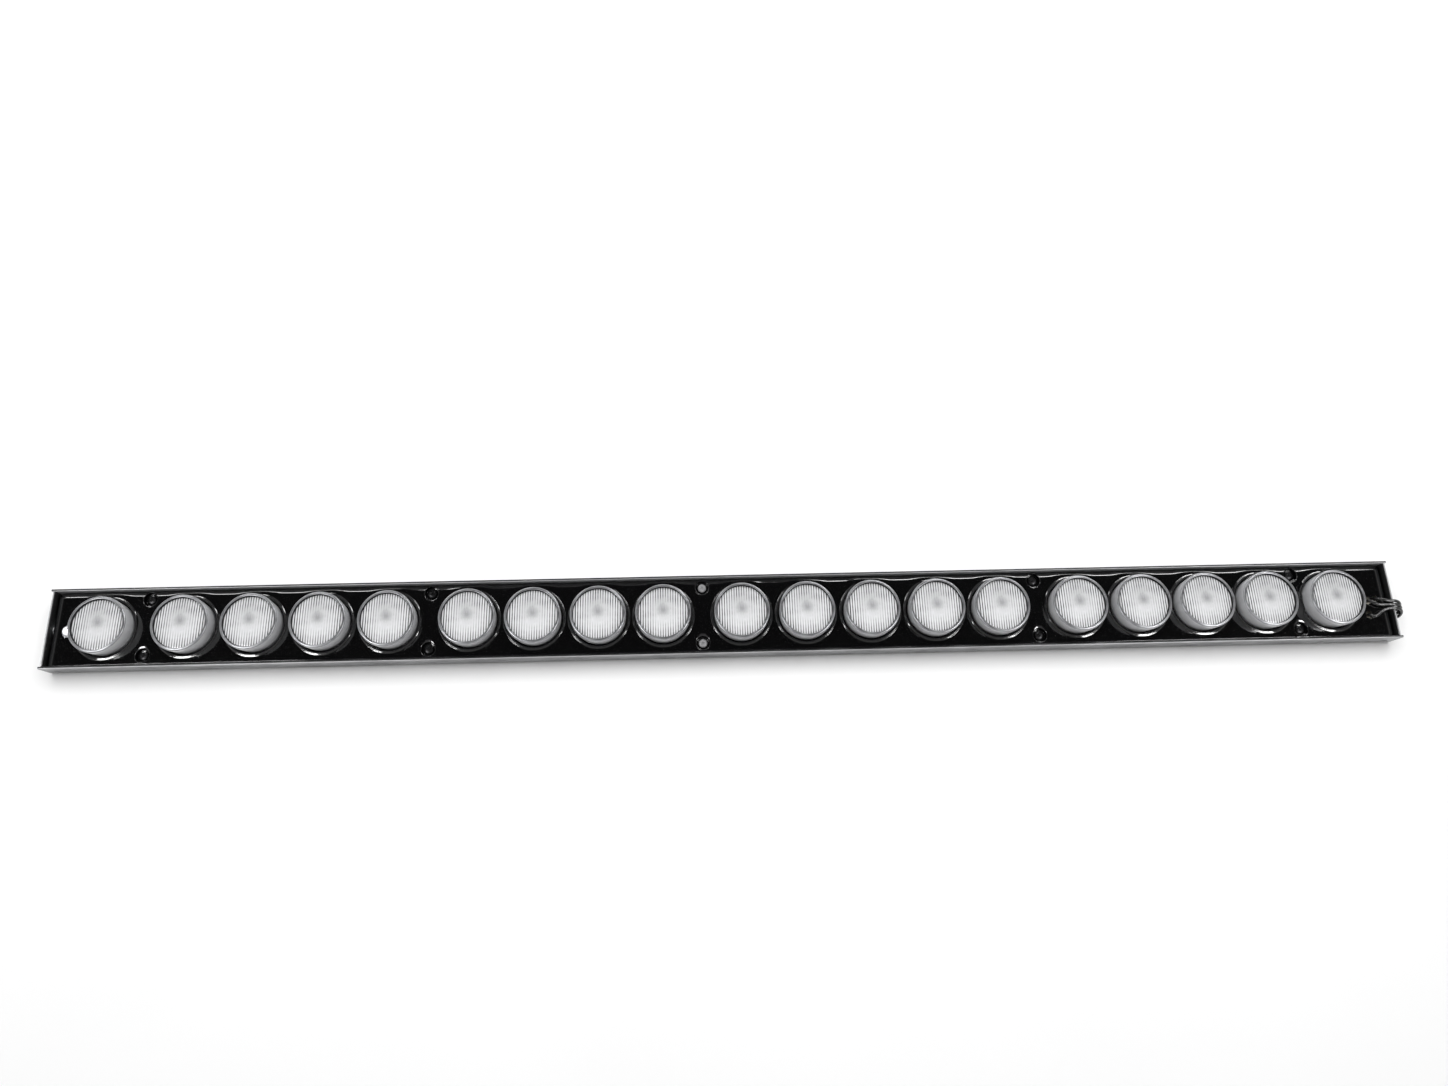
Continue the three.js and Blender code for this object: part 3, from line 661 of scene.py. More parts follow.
def glass_mesh():
    build = bmesh.new()
    front_z = glass_high.z - GLASS_CROWN
    back_z = glass_low.z + FLUTE_DEPTH
    front, back = [], []
    for column in range(COLUMNS + 1):
        turn_angle = -math.pi / 2 + math.pi * (column + 0.5) / (COLUMNS + 1)
        x = GLASS_RADIUS * math.sin(turn_angle)
        half = GLASS_RADIUS * math.cos(turn_angle)
        front.append([])
        back.append([])
        for row in range(ROWS + 1):
            y = half * math.sin(math.pi * (row / ROWS - 0.5))
            out = (x * x + y * y) / GLASS_RADIUS**2
            rolled = GLASS_EDGE * max(0.0, (out - EDGE_START) / (1 - EDGE_START)) ** 2
            front[-1].append(build.verts.new((x, y, front_z + GLASS_CROWN * (1 - out) - rolled)))
            back[-1].append(build.verts.new((x, y, back_z - flute(x))))
    for a in range(COLUMNS):
        for b in range(ROWS):
            build.faces.new([front[a][b], front[a + 1][b], front[a + 1][b + 1], front[a][b + 1]])
            build.faces.new([back[a][b], back[a][b + 1], back[a + 1][b + 1], back[a + 1][b]])
        build.faces.new([front[a][0], back[a][0], back[a + 1][0], front[a + 1][0]])
        build.faces.new([front[a][ROWS], front[a + 1][ROWS], back[a + 1][ROWS], back[a][ROWS]])
    for a, flip in ((0, False), (COLUMNS, True)):
        for b in range(ROWS):
            side = [front[a][b], front[a][b + 1], back[a][b + 1], back[a][b]]
            build.faces.new(side[::-1] if flip else side)
    return made("fluted_glass", build, [GLASS], 40)


shared_glass = glass_mesh()
for n, x in zip(lamp_names, lamp_x):
    seat(bpy.data.objects.new("glass_" + n, shared_glass), ["lamp_glass_" + n], (x, 0, 0))
print("glass", FLUTES, "flutes,", len(shared_glass.polygons), "faces each")

# %% [markdown]
# ## The tray
# The tray is one black sheet, drawn down over a mould: flat on top, rolled over at its long edges and ends,
# and turned down in a round lip at each lamp. Round every lamp hole it stands a little higher, and the step
# down to the flat is a soft bead that catches the light. The rear edge leans over gently before it rolls, and
# slumps between the lamps, which makes the highlight along it wander. Cutting holes with booleans
# would leave ragged shading round them. So the sheet is laid out cell by cell: each hole gets rings of
# vertices that run out from its edge to the cell's border, and one height rule shapes them all.

# %% Sizes of the tray
tray_low, tray_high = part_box("tray")
TRAY_TOP = tray_high.z
TRAY_SKIRT = tray_low.z
TRAY_SIDE = tray_high.y
TRAY_END = tray_high.x
SIDE_BAND = 6 * MM
SIDE_FALL = 2.5 * MM
FRONT_SIDE_ROLL = 0.6 * MM
SIDE_ROLL_AT_LAMP = 3.4 * MM
SIDE_ROLL_SLUMP = 2.0 * MM
END_ROLL = 7 * MM
END_FALL = 5 * MM
HOLE = LAMP_RADIUS + 0.5 * MM
HOLE_ROLL = 1.7 * MM
FLARE_GENTLE = 0.27
FLARE_STEEP = 0.49
HOLE_LIP = 15 * MM
BEAD = 0.52 * MM
BEAD_RADIUS = LAMP_RADIUS + 2.2 * MM
BEAD_WIDTH = 1.15 * MM
CUP = 6.4 * MM
CUP_EDGE = 0.4 * MM
CUP_CELL = 7.33 * MM
SHEET = 1.2 * MM
screw_places = [centre(*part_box(n)) for n in sorted(frame["nodes"]) if n.startswith("tray_screw_")]
cup_x = sorted({round(p.x, 6) for p in screw_places})
CUP_Y = abs(screw_places[0].y)
SCREW_HEAD_HEIGHT = 2 * MM
CUP_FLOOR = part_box("tray_screw_01")[1].z - SCREW_HEAD_HEIGHT - GAP
hole_box = frame["record"]["physics"]["openings"][0]
end_hole_corners = np.array(next(v for v in hole_box.values() if isinstance(v, list) and len(v) == 2))
end_hole = Vector(end_hole_corners.mean(axis=0))
END_HOLE = 5.5 * MM
LEAD_HOLE = LEAD_DIAMETER / 2 + 1.8 * MM
print("tray", len(cup_x) * 2, "cups, end hole at", round(end_hole.x / MM, 1), round(end_hole.y / MM, 1))


# %% The height rule
def falling(share):
    share = np.clip(share, 0, 1)
    return 1 - np.sqrt(np.maximum(0, 1 - share * share))


def flare(into, width):
    """A collar that starts gently, steepens over its width, and then runs straight on."""
    inside = np.clip(into, 0, width)
    steepening = (FLARE_STEEP - FLARE_GENTLE) / (2 * width) * inside**2
    return FLARE_GENTLE * inside + steepening + FLARE_STEEP * np.maximum(into - width, 0)


def sheet_height(x, y):
    lamps = np.array(lamp_x)
    away = x[:, None] - lamps
    near = np.abs(away).min(axis=1)
    reach = np.sqrt(away**2 + y[:, None] ** 2).min(axis=1)
    side_run = SIDE_ROLL_AT_LAMP + SIDE_ROLL_SLUMP * (1 - np.exp(-((near / (0.66 * LAMP_RADIUS)) ** 4)))
    side_run = np.where(y < 0, FRONT_SIDE_ROLL, side_run)
    from_side = TRAY_SIDE - np.abs(y)
    side = flare(side_run - from_side, side_run / 2) + SIDE_FALL * falling(1 - 2 * from_side / side_run)
    end = END_FALL * falling((np.abs(x) - (TRAY_END - END_ROLL)) / END_ROLL)
    lip = HOLE_ROLL * falling((HOLE + HOLE_ROLL - reach) / HOLE_ROLL)
    outward = np.clip((reach - BEAD_RADIUS) / BEAD_WIDTH, 0, 1)
    bead = BEAD * (0.5 - 0.5 * np.cos(math.pi * outward))
    return TRAY_TOP - side - bead - end - lip


# %% Cells with a hole in each
FLAT_HALF = TRAY_SIDE - SIDE_BAND
ACROSS = 24
ROLL_STEPS = 10
flat_y = [FLAT_HALF * (2 * i / ACROSS - 1) for i in range(ACROSS + 1)]
roll_y = [FLAT_HALF + SIDE_BAND * math.sin(math.pi / 2 * i / ROLL_STEPS) for i in range(1, ROLL_STEPS + 1)]
flat_end = TRAY_END - END_ROLL
end_x = [flat_end + END_ROLL * math.sin(math.pi / 2 * i / ROLL_STEPS) for i in range(ROLL_STEPS + 1)]


class SheetBuilder:
    """Collects the tray's points and faces. A point without a height takes it from the height rule."""

    def __init__(self):
        self.points = []
        self.faces = []

    def point(self, x, y, z=None):
        self.points.append((x, y, z))
        return len(self.points) - 1

    def grid(self, xs, ys):
        rows = [[self.point(x, y) for y in ys] for x in xs]
        for a, b in zip(rows, rows[1:]):
            for j in range(len(ys) - 1):
                self.faces.append((a[j], b[j], b[j + 1], a[j + 1]))

    def holed(self, xs, ys, middle, radius, edge_steps, spread_steps, walls):
        """A cell with a round hole: rings close together at its edge, then spread out to the border."""
        border = [(x, ys[0]) for x in xs[:-1]] + [(xs[-1], y) for y in ys[:-1]]
        border += [(x, ys[-1]) for x in xs[:0:-1]] + [(xs[0], y) for y in ys[:0:-1]]
        rings = []
        reach = [math.hypot(x - middle[0], y - middle[1]) for x, y in border]
        ways = [((x - middle[0]) / r, (y - middle[1]) / r) for (x, y), r in zip(border, reach)]
        for wall_radius, wall_z in reversed(walls):
            rings.append([self.point(middle[0] + u * wall_radius, middle[1] + v * wall_radius, wall_z)
                          for u, v in ways])
        count = len(edge_steps) + spread_steps
        for k in range(count + 1):
            ring = []
            for (u, v), far, (x, y) in zip(ways, reach, border):
                room = far - radius
                edge_room = min(edge_steps[-1], room * len(edge_steps) / count) if edge_steps else 0
                if k == count:
                    ring.append(self.point(x, y))
                    continue
                if k < len(edge_steps):
                    out = radius + edge_room * edge_steps[k] / edge_steps[-1]
                else:
                    share = (k - len(edge_steps) + 1) / (spread_steps + 1)
                    out = radius + edge_room + (room - edge_room) * share
                ring.append(self.point(middle[0] + u * out, middle[1] + v * out))
            rings.append(ring)
        for inner, outer in zip(rings, rings[1:]):
            for i in range(len(border)):
                j = (i + 1) % len(border)
                self.faces.append((inner[i], outer[i], outer[j], inner[j]))

    def side_rolls(self, xs):
        for sign in (-1, 1):
            ys = [sign * y for y in [FLAT_HALF, *roll_y]]
            self.grid(xs, ys if sign > 0 else ys[::-1])


# %% Lay out the tray
sheet = SheetBuilder()
LIP_STEPS = [HOLE_ROLL * (1 - math.cos(math.pi / 2 * i / 5)) for i in range(6)]
LIP_STEPS += [HOLE_ROLL + BEAD_WIDTH * i / 6 for i in range(1, 7)]
LAMP_WALLS = [(HOLE, TRAY_TOP - HOLE_ROLL - 0.4 * MM), (HOLE, HOLE_LIP)]
FLAT_TOP = TRAY_TOP - BEAD
SCREW_HOLE = 1.9 * MM
CUP_WALLS = [
    (CUP - 0.15 * MM, FLAT_TOP - 0.35 * MM), (CUP - 0.3 * MM, FLAT_TOP - 1.0 * MM),
    (CUP - 0.9 * MM, CUP_FLOOR + 1.2 * MM), (CUP - 1.0 * MM, CUP_FLOOR + 0.1 * MM),
    (CUP - 1.12 * MM, CUP_FLOOR), (CUP - 1.3 * MM, CUP_FLOOR), (SCREW_HOLE, CUP_FLOOR),
]
all_y = [-y for y in reversed(roll_y)] + flat_y + roll_y
upper_y = [y for y in all_y if y > -1e-9]
lower_y = [y for y in all_y if y < 1e-9]
end_cell = end_hole.x + END_HOLE + 0.3 * MM
lead_feet = [lead_points(number)[0] for number in range(3)]
first_lead_cell = lead_feet[2].x - LEAD_HOLE - 1.6 * MM
second_lead_cell = (lead_feet[0].x + lead_feet[1].x) / 2


def lamp_cell_ends(i):
    x = lamp_x[i]
    left = end_cell if i == 0 else centre(lamp_x[i - 1], x)
    right = first_lead_cell if i == LAMP_COUNT - 1 else centre(x, lamp_x[i + 1])
    for cup in cup_x:
        if abs(left - cup) < CUP_CELL:
            left = cup + CUP_CELL
        if abs(right - cup) < CUP_CELL:
            right = cup - CUP_CELL
    return left, right


for i, x in enumerate(lamp_x):
    left, right = lamp_cell_ends(i)
    xs = evenly(left, right, ACROSS)
    sheet.holed(xs, flat_y, (x, 0), HOLE, LIP_STEPS[1:], 9, LAMP_WALLS)
    sheet.side_rolls(xs)
for x in cup_x:
    xs = evenly(x - CUP_CELL, x + CUP_CELL, 10)
    for ys, side in ((lower_y, -1), (upper_y, 1)):
        sheet.holed(xs, ys, (x, side * CUP_Y), CUP, [CUP_EDGE], 5, CUP_WALLS)

# %% The tray's two ends
left_xs = evenly(-flat_end, end_cell, 10)
LIP = 0.2 * MM
sheet.holed(left_xs, flat_y, (end_hole.x, end_hole.y), END_HOLE, [LIP], 6, [(END_HOLE, FLAT_TOP - SHEET)])
sheet.side_rolls(left_xs)
lead_xs = evenly(first_lead_cell, second_lead_cell, 8)
SPLIT = 9  # the row between the lower two leads' cells
lead_lip = [(LEAD_HOLE, FLAT_TOP - SHEET)]
sheet.holed(lead_xs, flat_y[: SPLIT + 1], lead_feet[2][:2], LEAD_HOLE, [LIP], 5, lead_lip)
sheet.holed(lead_xs, flat_y[SPLIT:], lead_feet[1][:2], LEAD_HOLE, [LIP], 5, lead_lip)
sheet.side_rolls(lead_xs)
last_xs = evenly(second_lead_cell, flat_end, 8)
sheet.holed(last_xs, flat_y, lead_feet[0][:2], LEAD_HOLE, [LIP], 5, lead_lip)
sheet.side_rolls(last_xs)
sheet.grid(end_x, all_y)
sheet.grid([-x for x in reversed(end_x)], all_y)


# %% Shape, skirt and thicken the tray
def tray_mesh():
    places = np.array([(x, y, 0 if z is None else z) for x, y, z in sheet.points])
    free = np.array([z is None for _, _, z in sheet.points])
    places[free, 2] = sheet_height(places[free, 0], places[free, 1])
    mesh = bpy.data.meshes.new("tray")
    mesh.from_pydata(places.tolist(), [], sheet.faces)
    build = bmesh.new()
    build.from_mesh(mesh)
    bmesh.ops.remove_doubles(build, verts=build.verts, dist=0.004 * MM)
    tiny = 0.01 * MM
    outer = [
        e for e in build.edges
        if e.is_boundary and (all(abs(v.co.y) > TRAY_SIDE - tiny for v in e.verts)
                              or all(abs(v.co.x) > TRAY_END - tiny for v in e.verts))
    ]
    skirt = bmesh.ops.extrude_edge_only(build, edges=outer)
    for vertex in (g for g in skirt["geom"] if isinstance(g, bmesh.types.BMVert)):
        vertex.co.z = TRAY_SKIRT
    bmesh.ops.recalc_face_normals(build, faces=build.faces)
    if sum(f.normal.z * f.calc_area() for f in build.faces) < 0:
        bmesh.ops.reverse_faces(build, faces=build.faces)
    crowded = sum(1 for e in build.edges if len(e.link_faces) > 2)
    print("tray sheet", len(build.faces), "faces,", crowded, "edges with too many faces")
    build.to_mesh(mesh)
    build.free()
    mesh.materials.append(TRAY_BLACK)
    return smooth(mesh, 60)


tray = seat(bpy.data.objects.new("formed_tray", tray_mesh()), ["tray"])
thicken = tray.modifiers.new("sheet", "SOLIDIFY")
thicken.thickness = SHEET
thicken.offset = -1

# %% [markdown]
# ## The channel
# The channel is one sheet folded twice. A folded sheet has soft corners outside, tighter ones inside, and its
# two top edges are deburred. The section is drawn once as an outline whose corners are arcs, then run along
# the whole length. A Bevel modifier on a box would round every edge alike, which a fold never is. The round
# opening in the back is cut by a boolean, because a flat face takes one cleanly. The rims are what the eye
# follows: the front one gets a painted highlight along its outer edge, the rear one along its inside, and the
# rest of both is painted shade, so each rim reads as a dark and a bright line. The folds at the foot get the
# same painted shade, as a painted contact shadow.

# %% Outline with round corners
def rounded_outline(corners, steps=5):
    """Corners are (across, up, radius). Each becomes an arc that touches its two sides."""
    outline = []
    for i, (y, z, radius) in enumerate(corners):
        here = Vector((y, z))
        before = Vector(corners[i - 1][:2]) - here
        after = Vector(corners[(i + 1) % len(corners)][:2]) - here
        before.normalize()
        after.normalize()
        half = before.angle(after) / 2
        middle = here + (before + after).normalized() * radius / math.sin(half)
        start = here + before * radius / math.tan(half) - middle
        end = here + after * radius / math.tan(half) - middle
        for k in range(steps + 1):
            way = start.lerp(end, k / steps).normalized() * radius
            outline.append(tuple(middle + way))
    return outline


def run_along(name, outline, x0, x1, materials, stations=2, crease=30):
    build = bmesh.new()
    rows = [[build.verts.new((x, y, z)) for y, z in outline] for x in evenly(x0, x1, stations)]
    for a, b in zip(rows, rows[1:]):
        for i in range(len(outline)):
            j = (i + 1) % len(outline)
            build.faces.new([a[i], a[j], b[j], b[i]])
    build.faces.new(rows[0][::-1])
    build.faces.new(rows[-1])
    return made(name, build, materials, crease)


# %% Cut one piece by another
def cut(piece, cutter_mesh):
    cutter = bpy.data.objects.new("cutter", cutter_mesh)
    bpy.context.scene.collection.objects.link(cutter)
    modifier = piece.modifiers.new("cut", "BOOLEAN")
    modifier.object = cutter
    modifier.operation = "DIFFERENCE"
    modifier.solver = "EXACT"
    bpy.context.view_layer.update()
    graph = bpy.context.evaluated_depsgraph_get()
    result = bpy.data.meshes.new_from_object(piece.evaluated_get(graph))
    piece.modifiers.remove(modifier)
    piece.data = result
    bpy.data.objects.remove(cutter)
    smooth(result, 30)
    return piece


# %% Finish of a rim
HALF_WIDTH = channel_high.y
FOLD_OUTSIDE = 2.2 * MM
DEBURR = 0.55 * MM


# The outside folds at the foot, where the painted contact shadow goes.
def at_fold(place):
    return place.z < FOLD_OUTSIDE and abs(place.y) > HALF_WIDTH - FOLD_OUTSIDE


def finish_rim(mesh, is_bright):
    """The bright faces get the painted highlight. The rim's other faces get painted shade, and the folds at
    the foot a painted contact shadow.
    """
    mesh.materials.append(PAINTED_HIGHLIGHT)
    mesh.materials.append(PAINTED_SHADE)
    for face in mesh.polygons:
        if is_bright(face.center):
            face.material_index = 1
        elif face.center.z > RIM - DEBURR or at_fold(face.center):
            face.material_index = 2


# %% Channel
PLATE_FOOT = plate_low.z
WALL = PLATE_FOOT - GAP
FOLD_INSIDE = 0.6 * MM
HIGHLIGHT_WIDTH = 0.8 * MM
BACK_HOLE = 7 * MM
inner = HALF_WIDTH - WALL
section = rounded_outline([
    (-HALF_WIDTH, 0, FOLD_OUTSIDE), (HALF_WIDTH, 0, FOLD_OUTSIDE),
    (HALF_WIDTH, RIM, DEBURR), (inner, RIM, DEBURR),
    (inner, WALL, FOLD_INSIDE), (-inner, WALL, FOLD_INSIDE),
    (-inner, RIM, DEBURR), (-HALF_WIDTH, RIM, DEBURR),
])


# The faces that get the painted highlight: the front rim's outer edge and the rear rim's inside.
def lit_on_channel(place):
    front_edge = place.z > RIM - DEBURR and place.y < HIGHLIGHT_WIDTH - HALF_WIDTH
    rear_inside = place.z > TRAY_SKIRT and 0 < place.y < inner + HIGHLIGHT_WIDTH
    return front_edge or rear_inside


channel_ends = (channel_low.x, channel_high.x)
channel_mesh = run_along("channel", section, *channel_ends, [ALUMINIUM], stations=40)
channel = seat(bpy.data.objects.new("folded_channel", channel_mesh), ["channel"])
finish_rim(channel_mesh, lit_on_channel)
plug = [(0, -WALL), (BACK_HOLE, -WALL), (BACK_HOLE, 2 * WALL), (0, 2 * WALL)]
back_cutter = turn("back_cutter", plug, 64, [])
back_cutter.transform(Matrix.Translation((end_hole.x, end_hole.y, 0)))
cut(channel, back_cutter)
print("channel", len(channel.data.polygons), "faces, walls", round(WALL / MM, 1), "mm")

# %% [markdown]
# ## The end plates, rivets and clip
# A bent plate closes each end, a little inside the ends of the walls, and is riveted through them. The plates
# are simple folded metal, so each is drawn as a rounded bar with two tabs. The rivets are blind rivets: a low
# domed head outside the wall, with the dimple that their broken stem leaves. They are turned and laid on
# their side.

# %% End plates
grommet_low, grommet_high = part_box("lead_grommet")
PLATE = PLATE_FACE - grommet_low.x  # the grommet's neck fills the plate
PLATE_HALF = inner - GAP
PLATE_EDGE = 0.5 * MM
TAB = 12 * MM
TAB_SHEET = 1.5 * MM
TAB_EDGE = 0.4 * MM
TAB_TOP = TRAY_SKIRT - 0.5 * MM
TAB_BITE = 0.05 * MM  # how far a tab runs into its plate


def bar(name, x0, x1, y0, y1, z0, z1, radius):
    outline = rounded_outline([(y0, z0, radius), (y1, z0, radius), (y1, z1, radius), (y0, z1, radius)], 3)
    return run_along(name, outline, x0, x1, [ALUMINIUM])


def joined(name, meshes):
    build = bmesh.new()
    for mesh in meshes:
        build.from_mesh(mesh)
    return made(name, build, meshes[0].materials, 30)


def end_plate(name, end):
    face, back = end * PLATE_FACE, end * (PLATE_FACE - PLATE)
    tab_x = end * (PLATE_FACE - PLATE - TAB)
    across = (-PLATE_HALF, PLATE_HALF)
    meshes = [bar(name, min(face, back), max(face, back), *across, PLATE_FOOT, RIM, PLATE_EDGE)]
    for side in (-1, 1):
        across = sorted((side * PLATE_HALF, side * (PLATE_HALF - TAB_SHEET)))
        along = sorted((tab_x, end * (PLATE_FACE - PLATE - TAB_BITE)))
        meshes.append(bar("tab", *along, *across, PLATE_FOOT, TAB_TOP, TAB_EDGE))
    node = "end_plate_left" if end < 0 else "end_plate_right"
    mesh = joined(name, meshes)
    # The outer half of the plate's top edge gets the painted highlight, the rest of its top painted shade.
    finish_rim(mesh, lambda place: place.z > RIM - DEBURR and abs(place.x) > PLATE_FACE - PLATE / 2)
    return seat(bpy.data.objects.new(name, mesh), [node])


end_plate("left_end_plate", -1)
right_plate = end_plate("right_end_plate", 1)

# %% Rivets
RIVET_HEAD = 3 * MM
RIVET_RISE = 0.8 * MM
RIVET_OUT = HALF_WIDTH + GAP
RIVET_INSET = 5.2 * MM
RIVET_X = PLATE_FACE - PLATE - RIVET_INSET
RIVET_Z = 7.5 * MM
STEM = 0.9 * MM


def rivet_profile():
    """From the wall outwards: a flat foot, the dome, and the dimple of the broken stem."""
    dome = [(RIVET_HEAD * math.cos(a), -RIVET_RISE * 0.25 + RIVET_RISE * 1.15 * math.sin(a))
            for a in [math.radians(v) for v in (15, 30, 45, 58, 68)]]
    return [(0, -GAP), (RIVET_HEAD, -GAP), (RIVET_HEAD, GAP / 3), *dome,
            (STEM, RIVET_RISE * 0.8), (STEM * 8 / 9, RIVET_RISE * 0.35), (0, RIVET_RISE * 0.35)]


rivet_mesh = turn("rivet", rivet_profile(), SMALL_SIDES, [ZINC], crease=50)


def rivet(name, x, z, side):
    piece = bpy.data.objects.new(name, rivet_mesh)
    piece.rotation_euler = (-side * math.pi / 2, 0, 0)
    return seat(piece, at=(x, side * RIVET_OUT, z))


for side, way in ((-1, "front"), (1, "rear")):
    for end, where in ((-1, "left"), (1, "right")):
        rivet(f"rivet_{way}_{where}", end * RIVET_X, RIVET_Z, side)

# %% Clip
clip_low, clip_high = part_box("harness_clip")
harness_low, harness_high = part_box("wiring_harness")
CLIP_X = centre(clip_low, clip_high).x
CLIP_HALF = (clip_high.x - clip_low.x) / 2
WIRE_RADIUS = (harness_high.z - harness_low.z) / 2
WIRE_Y = harness_low.y + WIRE_RADIUS
WIRE_Z = centre(harness_low, harness_high).z
CLIP_BORE = WIRE_RADIUS + GAP
CLIP_OUTSIDE = clip_high.y - WIRE_Y
clip_profile = [
    (CLIP_BORE, -CLIP_HALF), (CLIP_OUTSIDE, -CLIP_HALF), (CLIP_OUTSIDE, CLIP_HALF), (CLIP_BORE, CLIP_HALF),
]
clip_mesh = turn("clip", clip_profile, SMALL_SIDES, [GALVANISED], ring=True)
clip = bpy.data.objects.new("wiring_clip", clip_mesh)
clip.rotation_euler = (0, math.pi / 2, 0)
seat(clip, ["harness_clip"], (CLIP_X, WIRE_Y, WIRE_Z))
rivet("rivet_clip", CLIP_X, WIRE_Z, -1)
print("rivets", 5, "and a clip at", round(CLIP_X / MM, 1), "mm")

# %% [markdown]
# ## The grommet
# A rubber grommet lines the slot where the three leads come back in. It has a thin neck in the plate and a
# wider flange outside. Its section is the same all round an oval, so a closed loop of section points is
# carried round that oval and joined up.

# %% Grommet
GROMMET_Y = centre(grommet_low, grommet_high).y
OVAL_INSIDE = LEAD_DIAMETER / 2 + GAP
GROMMET_NECK = 1.1 * MM
GROMMET_FLANGE = 2.4 * MM
FLANGE_THICKNESS = 0.9 * MM
SOFT_EDGE = 0.3 * MM
LIP_EDGE = 0.05 * MM
SLOT_ROOM = 0.2 * MM
OVAL_STEPS = 48


def oval_point(share, grow):
    turn_angle = 2 * math.pi * (share + 0.5 / OVAL_STEPS)
    middle = math.copysign(LEAD_PITCH, math.cos(turn_angle))
    radius = OVAL_INSIDE + grow
    return GROMMET_Y + middle + radius * math.cos(turn_angle), GROMMET_HEIGHT + radius * math.sin(turn_angle)


def grommet_mesh():
    back, front, soft = grommet_low.x, grommet_high.x, SOFT_EDGE
    step = front - FLANGE_THICKNESS
    section_points = [
        (soft, back), (GROMMET_NECK, back), (GROMMET_NECK, step), (GROMMET_FLANGE - soft, step),
        (GROMMET_FLANGE, step + soft), (GROMMET_FLANGE, front - soft), (GROMMET_FLANGE - soft, front),
        (soft, front), (LIP_EDGE, front - soft), (LIP_EDGE, back + soft),
    ]
    build = bmesh.new()
    loops = []
    for i in range(OVAL_STEPS):
        places = [(x, *oval_point(i / OVAL_STEPS, grow)) for grow, x in section_points]
        loops.append([build.verts.new(place) for place in places])
    for i, loop in enumerate(loops):
        following = loops[(i + 1) % OVAL_STEPS]
        for k in range(len(section_points)):
            m = (k + 1) % len(section_points)
            build.faces.new([loop[k], following[k], following[m], loop[m]])
    return made("grommet", build, [RUBBER], 50)


seat(bpy.data.objects.new("rubber_grommet", grommet_mesh()), ["lead_grommet"])
slot_outline = [oval_point(i / OVAL_STEPS, GROMMET_NECK + SLOT_ROOM) for i in range(OVAL_STEPS)]
slot_cutter = run_along("slot_cutter", slot_outline, PLATE_FACE - 2 * PLATE, PLATE_FACE + PLATE, [])
cut(right_plate, slot_cutter)
print("grommet flange", round((grommet_high.y - grommet_low.y) / MM, 1), "mm wide")

# %% [markdown]
# ## The tray's screws
# Ten pan-head screws sit in the cups. A screw is known by its recess, so the head is turned and a cross is
# cut into it, once, and all ten share the mesh. The two in the middle are new zinc screws, and the others
# are blackened.

# %% Screws
screw_low, screw_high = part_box("tray_screw_01")
SCREW_HEAD = max(screw_high.x - screw_low.x, screw_high.y - screw_low.y) / 2
SCREW_SEAT = CUP_FLOOR + GAP
SCREW_BRIM = 0.7 * MM
SHANK = 1.5 * MM
THREAD = 0.16 * MM
THREAD_PITCH = 0.7 * MM


def screw_profile():
    length = SCREW_SEAT - screw_low.z
    turns = int(length / THREAD_PITCH) - 1
    shank = [(0, -length), (SHANK * 0.45, -length), (SHANK - THREAD, -length + THREAD_PITCH)]
    for k in range(1, turns):
        z = -length + THREAD_PITCH * (k + 0.5)
        shank += [(SHANK, z), (SHANK - THREAD, z + THREAD_PITCH / 2)]
    head = [(SHANK, -0.4 * MM), (SHANK, 0), (SCREW_HEAD - EDGE / 2, 0), (SCREW_HEAD, EDGE / 2)]
    head += [(SCREW_HEAD, SCREW_BRIM)]
    head += [(SCREW_HEAD * math.cos(a) ** 0.7, SCREW_BRIM + (SCREW_HEAD_HEIGHT - SCREW_BRIM) * math.sin(a))
             for a in [math.radians(v) for v in (15, 30, 45, 60, 75)]]
    return shank + head + [(0, SCREW_HEAD_HEIGHT)]


def cross_cutter():
    """A cross of twelve sides that narrows downwards, as one closed body."""
    build = bmesh.new()
    half, depth, above = 0.42 * MM, 1.1 * MM, 0.4 * MM
    rings = []
    for z, reach in ((SCREW_HEAD_HEIGHT - depth, 0.9 * MM), (SCREW_HEAD_HEIGHT + above, 2.0 * MM)):
        arm = [(reach, -half), (reach, half), (half, half)]
        ring = [(x * c - y * s, x * s + y * c) for c, s in ((1, 0), (0, 1), (-1, 0), (0, -1)) for x, y in arm]
        rings.append([build.verts.new((x, y, z)) for x, y in ring])
    low, high = rings
    for i in range(len(low)):
        j = (i + 1) % len(low)
        build.faces.new([low[i], low[j], high[j], high[i]])
    build.faces.new(low[::-1])
    build.faces.new(high)
    bmesh.ops.recalc_face_normals(build, faces=build.faces)
    mesh = bpy.data.meshes.new("cross_cutter")
    build.to_mesh(mesh)
    build.free()
    return mesh


plain_screw = turn("screw", screw_profile(), SMALL_SIDES, [BLACKENED], crease=40)
pattern = bpy.data.objects.new("screw_pattern", plain_screw)
bpy.context.scene.collection.objects.link(pattern)
cut(pattern, cross_cutter())
dark_screw = pattern.data
bright_screw = dark_screw.copy()
bright_screw.materials[0] = ZINC
bpy.data.objects.remove(pattern)
middle_cup = min(cup_x, key=abs)
SCREW_TURN = 37  # degrees from one screw's cross to the next, so that no two stand alike
for n, place in enumerate(screw_places, start=1):
    chosen = bright_screw if abs(place.x - middle_cup) < MM else dark_screw
    piece = bpy.data.objects.new(f"cup_screw_{n:02d}", chosen)
    piece.rotation_euler = (0, 0, math.radians(SCREW_TURN * n))
    seat(piece, [f"tray_screw_{n:02d}"], (place.x, place.y, SCREW_SEAT))
print("screws", len(screw_places), "with heads of", round(2 * SCREW_HEAD / MM, 1), "mm")

# %% [markdown]
# ## What stays as the frame made it
# The bar under the lamps, the terminal block and the wiring are plain shapes inside the channel. Their solids
# are right as they are, so they stay and only get their finish.

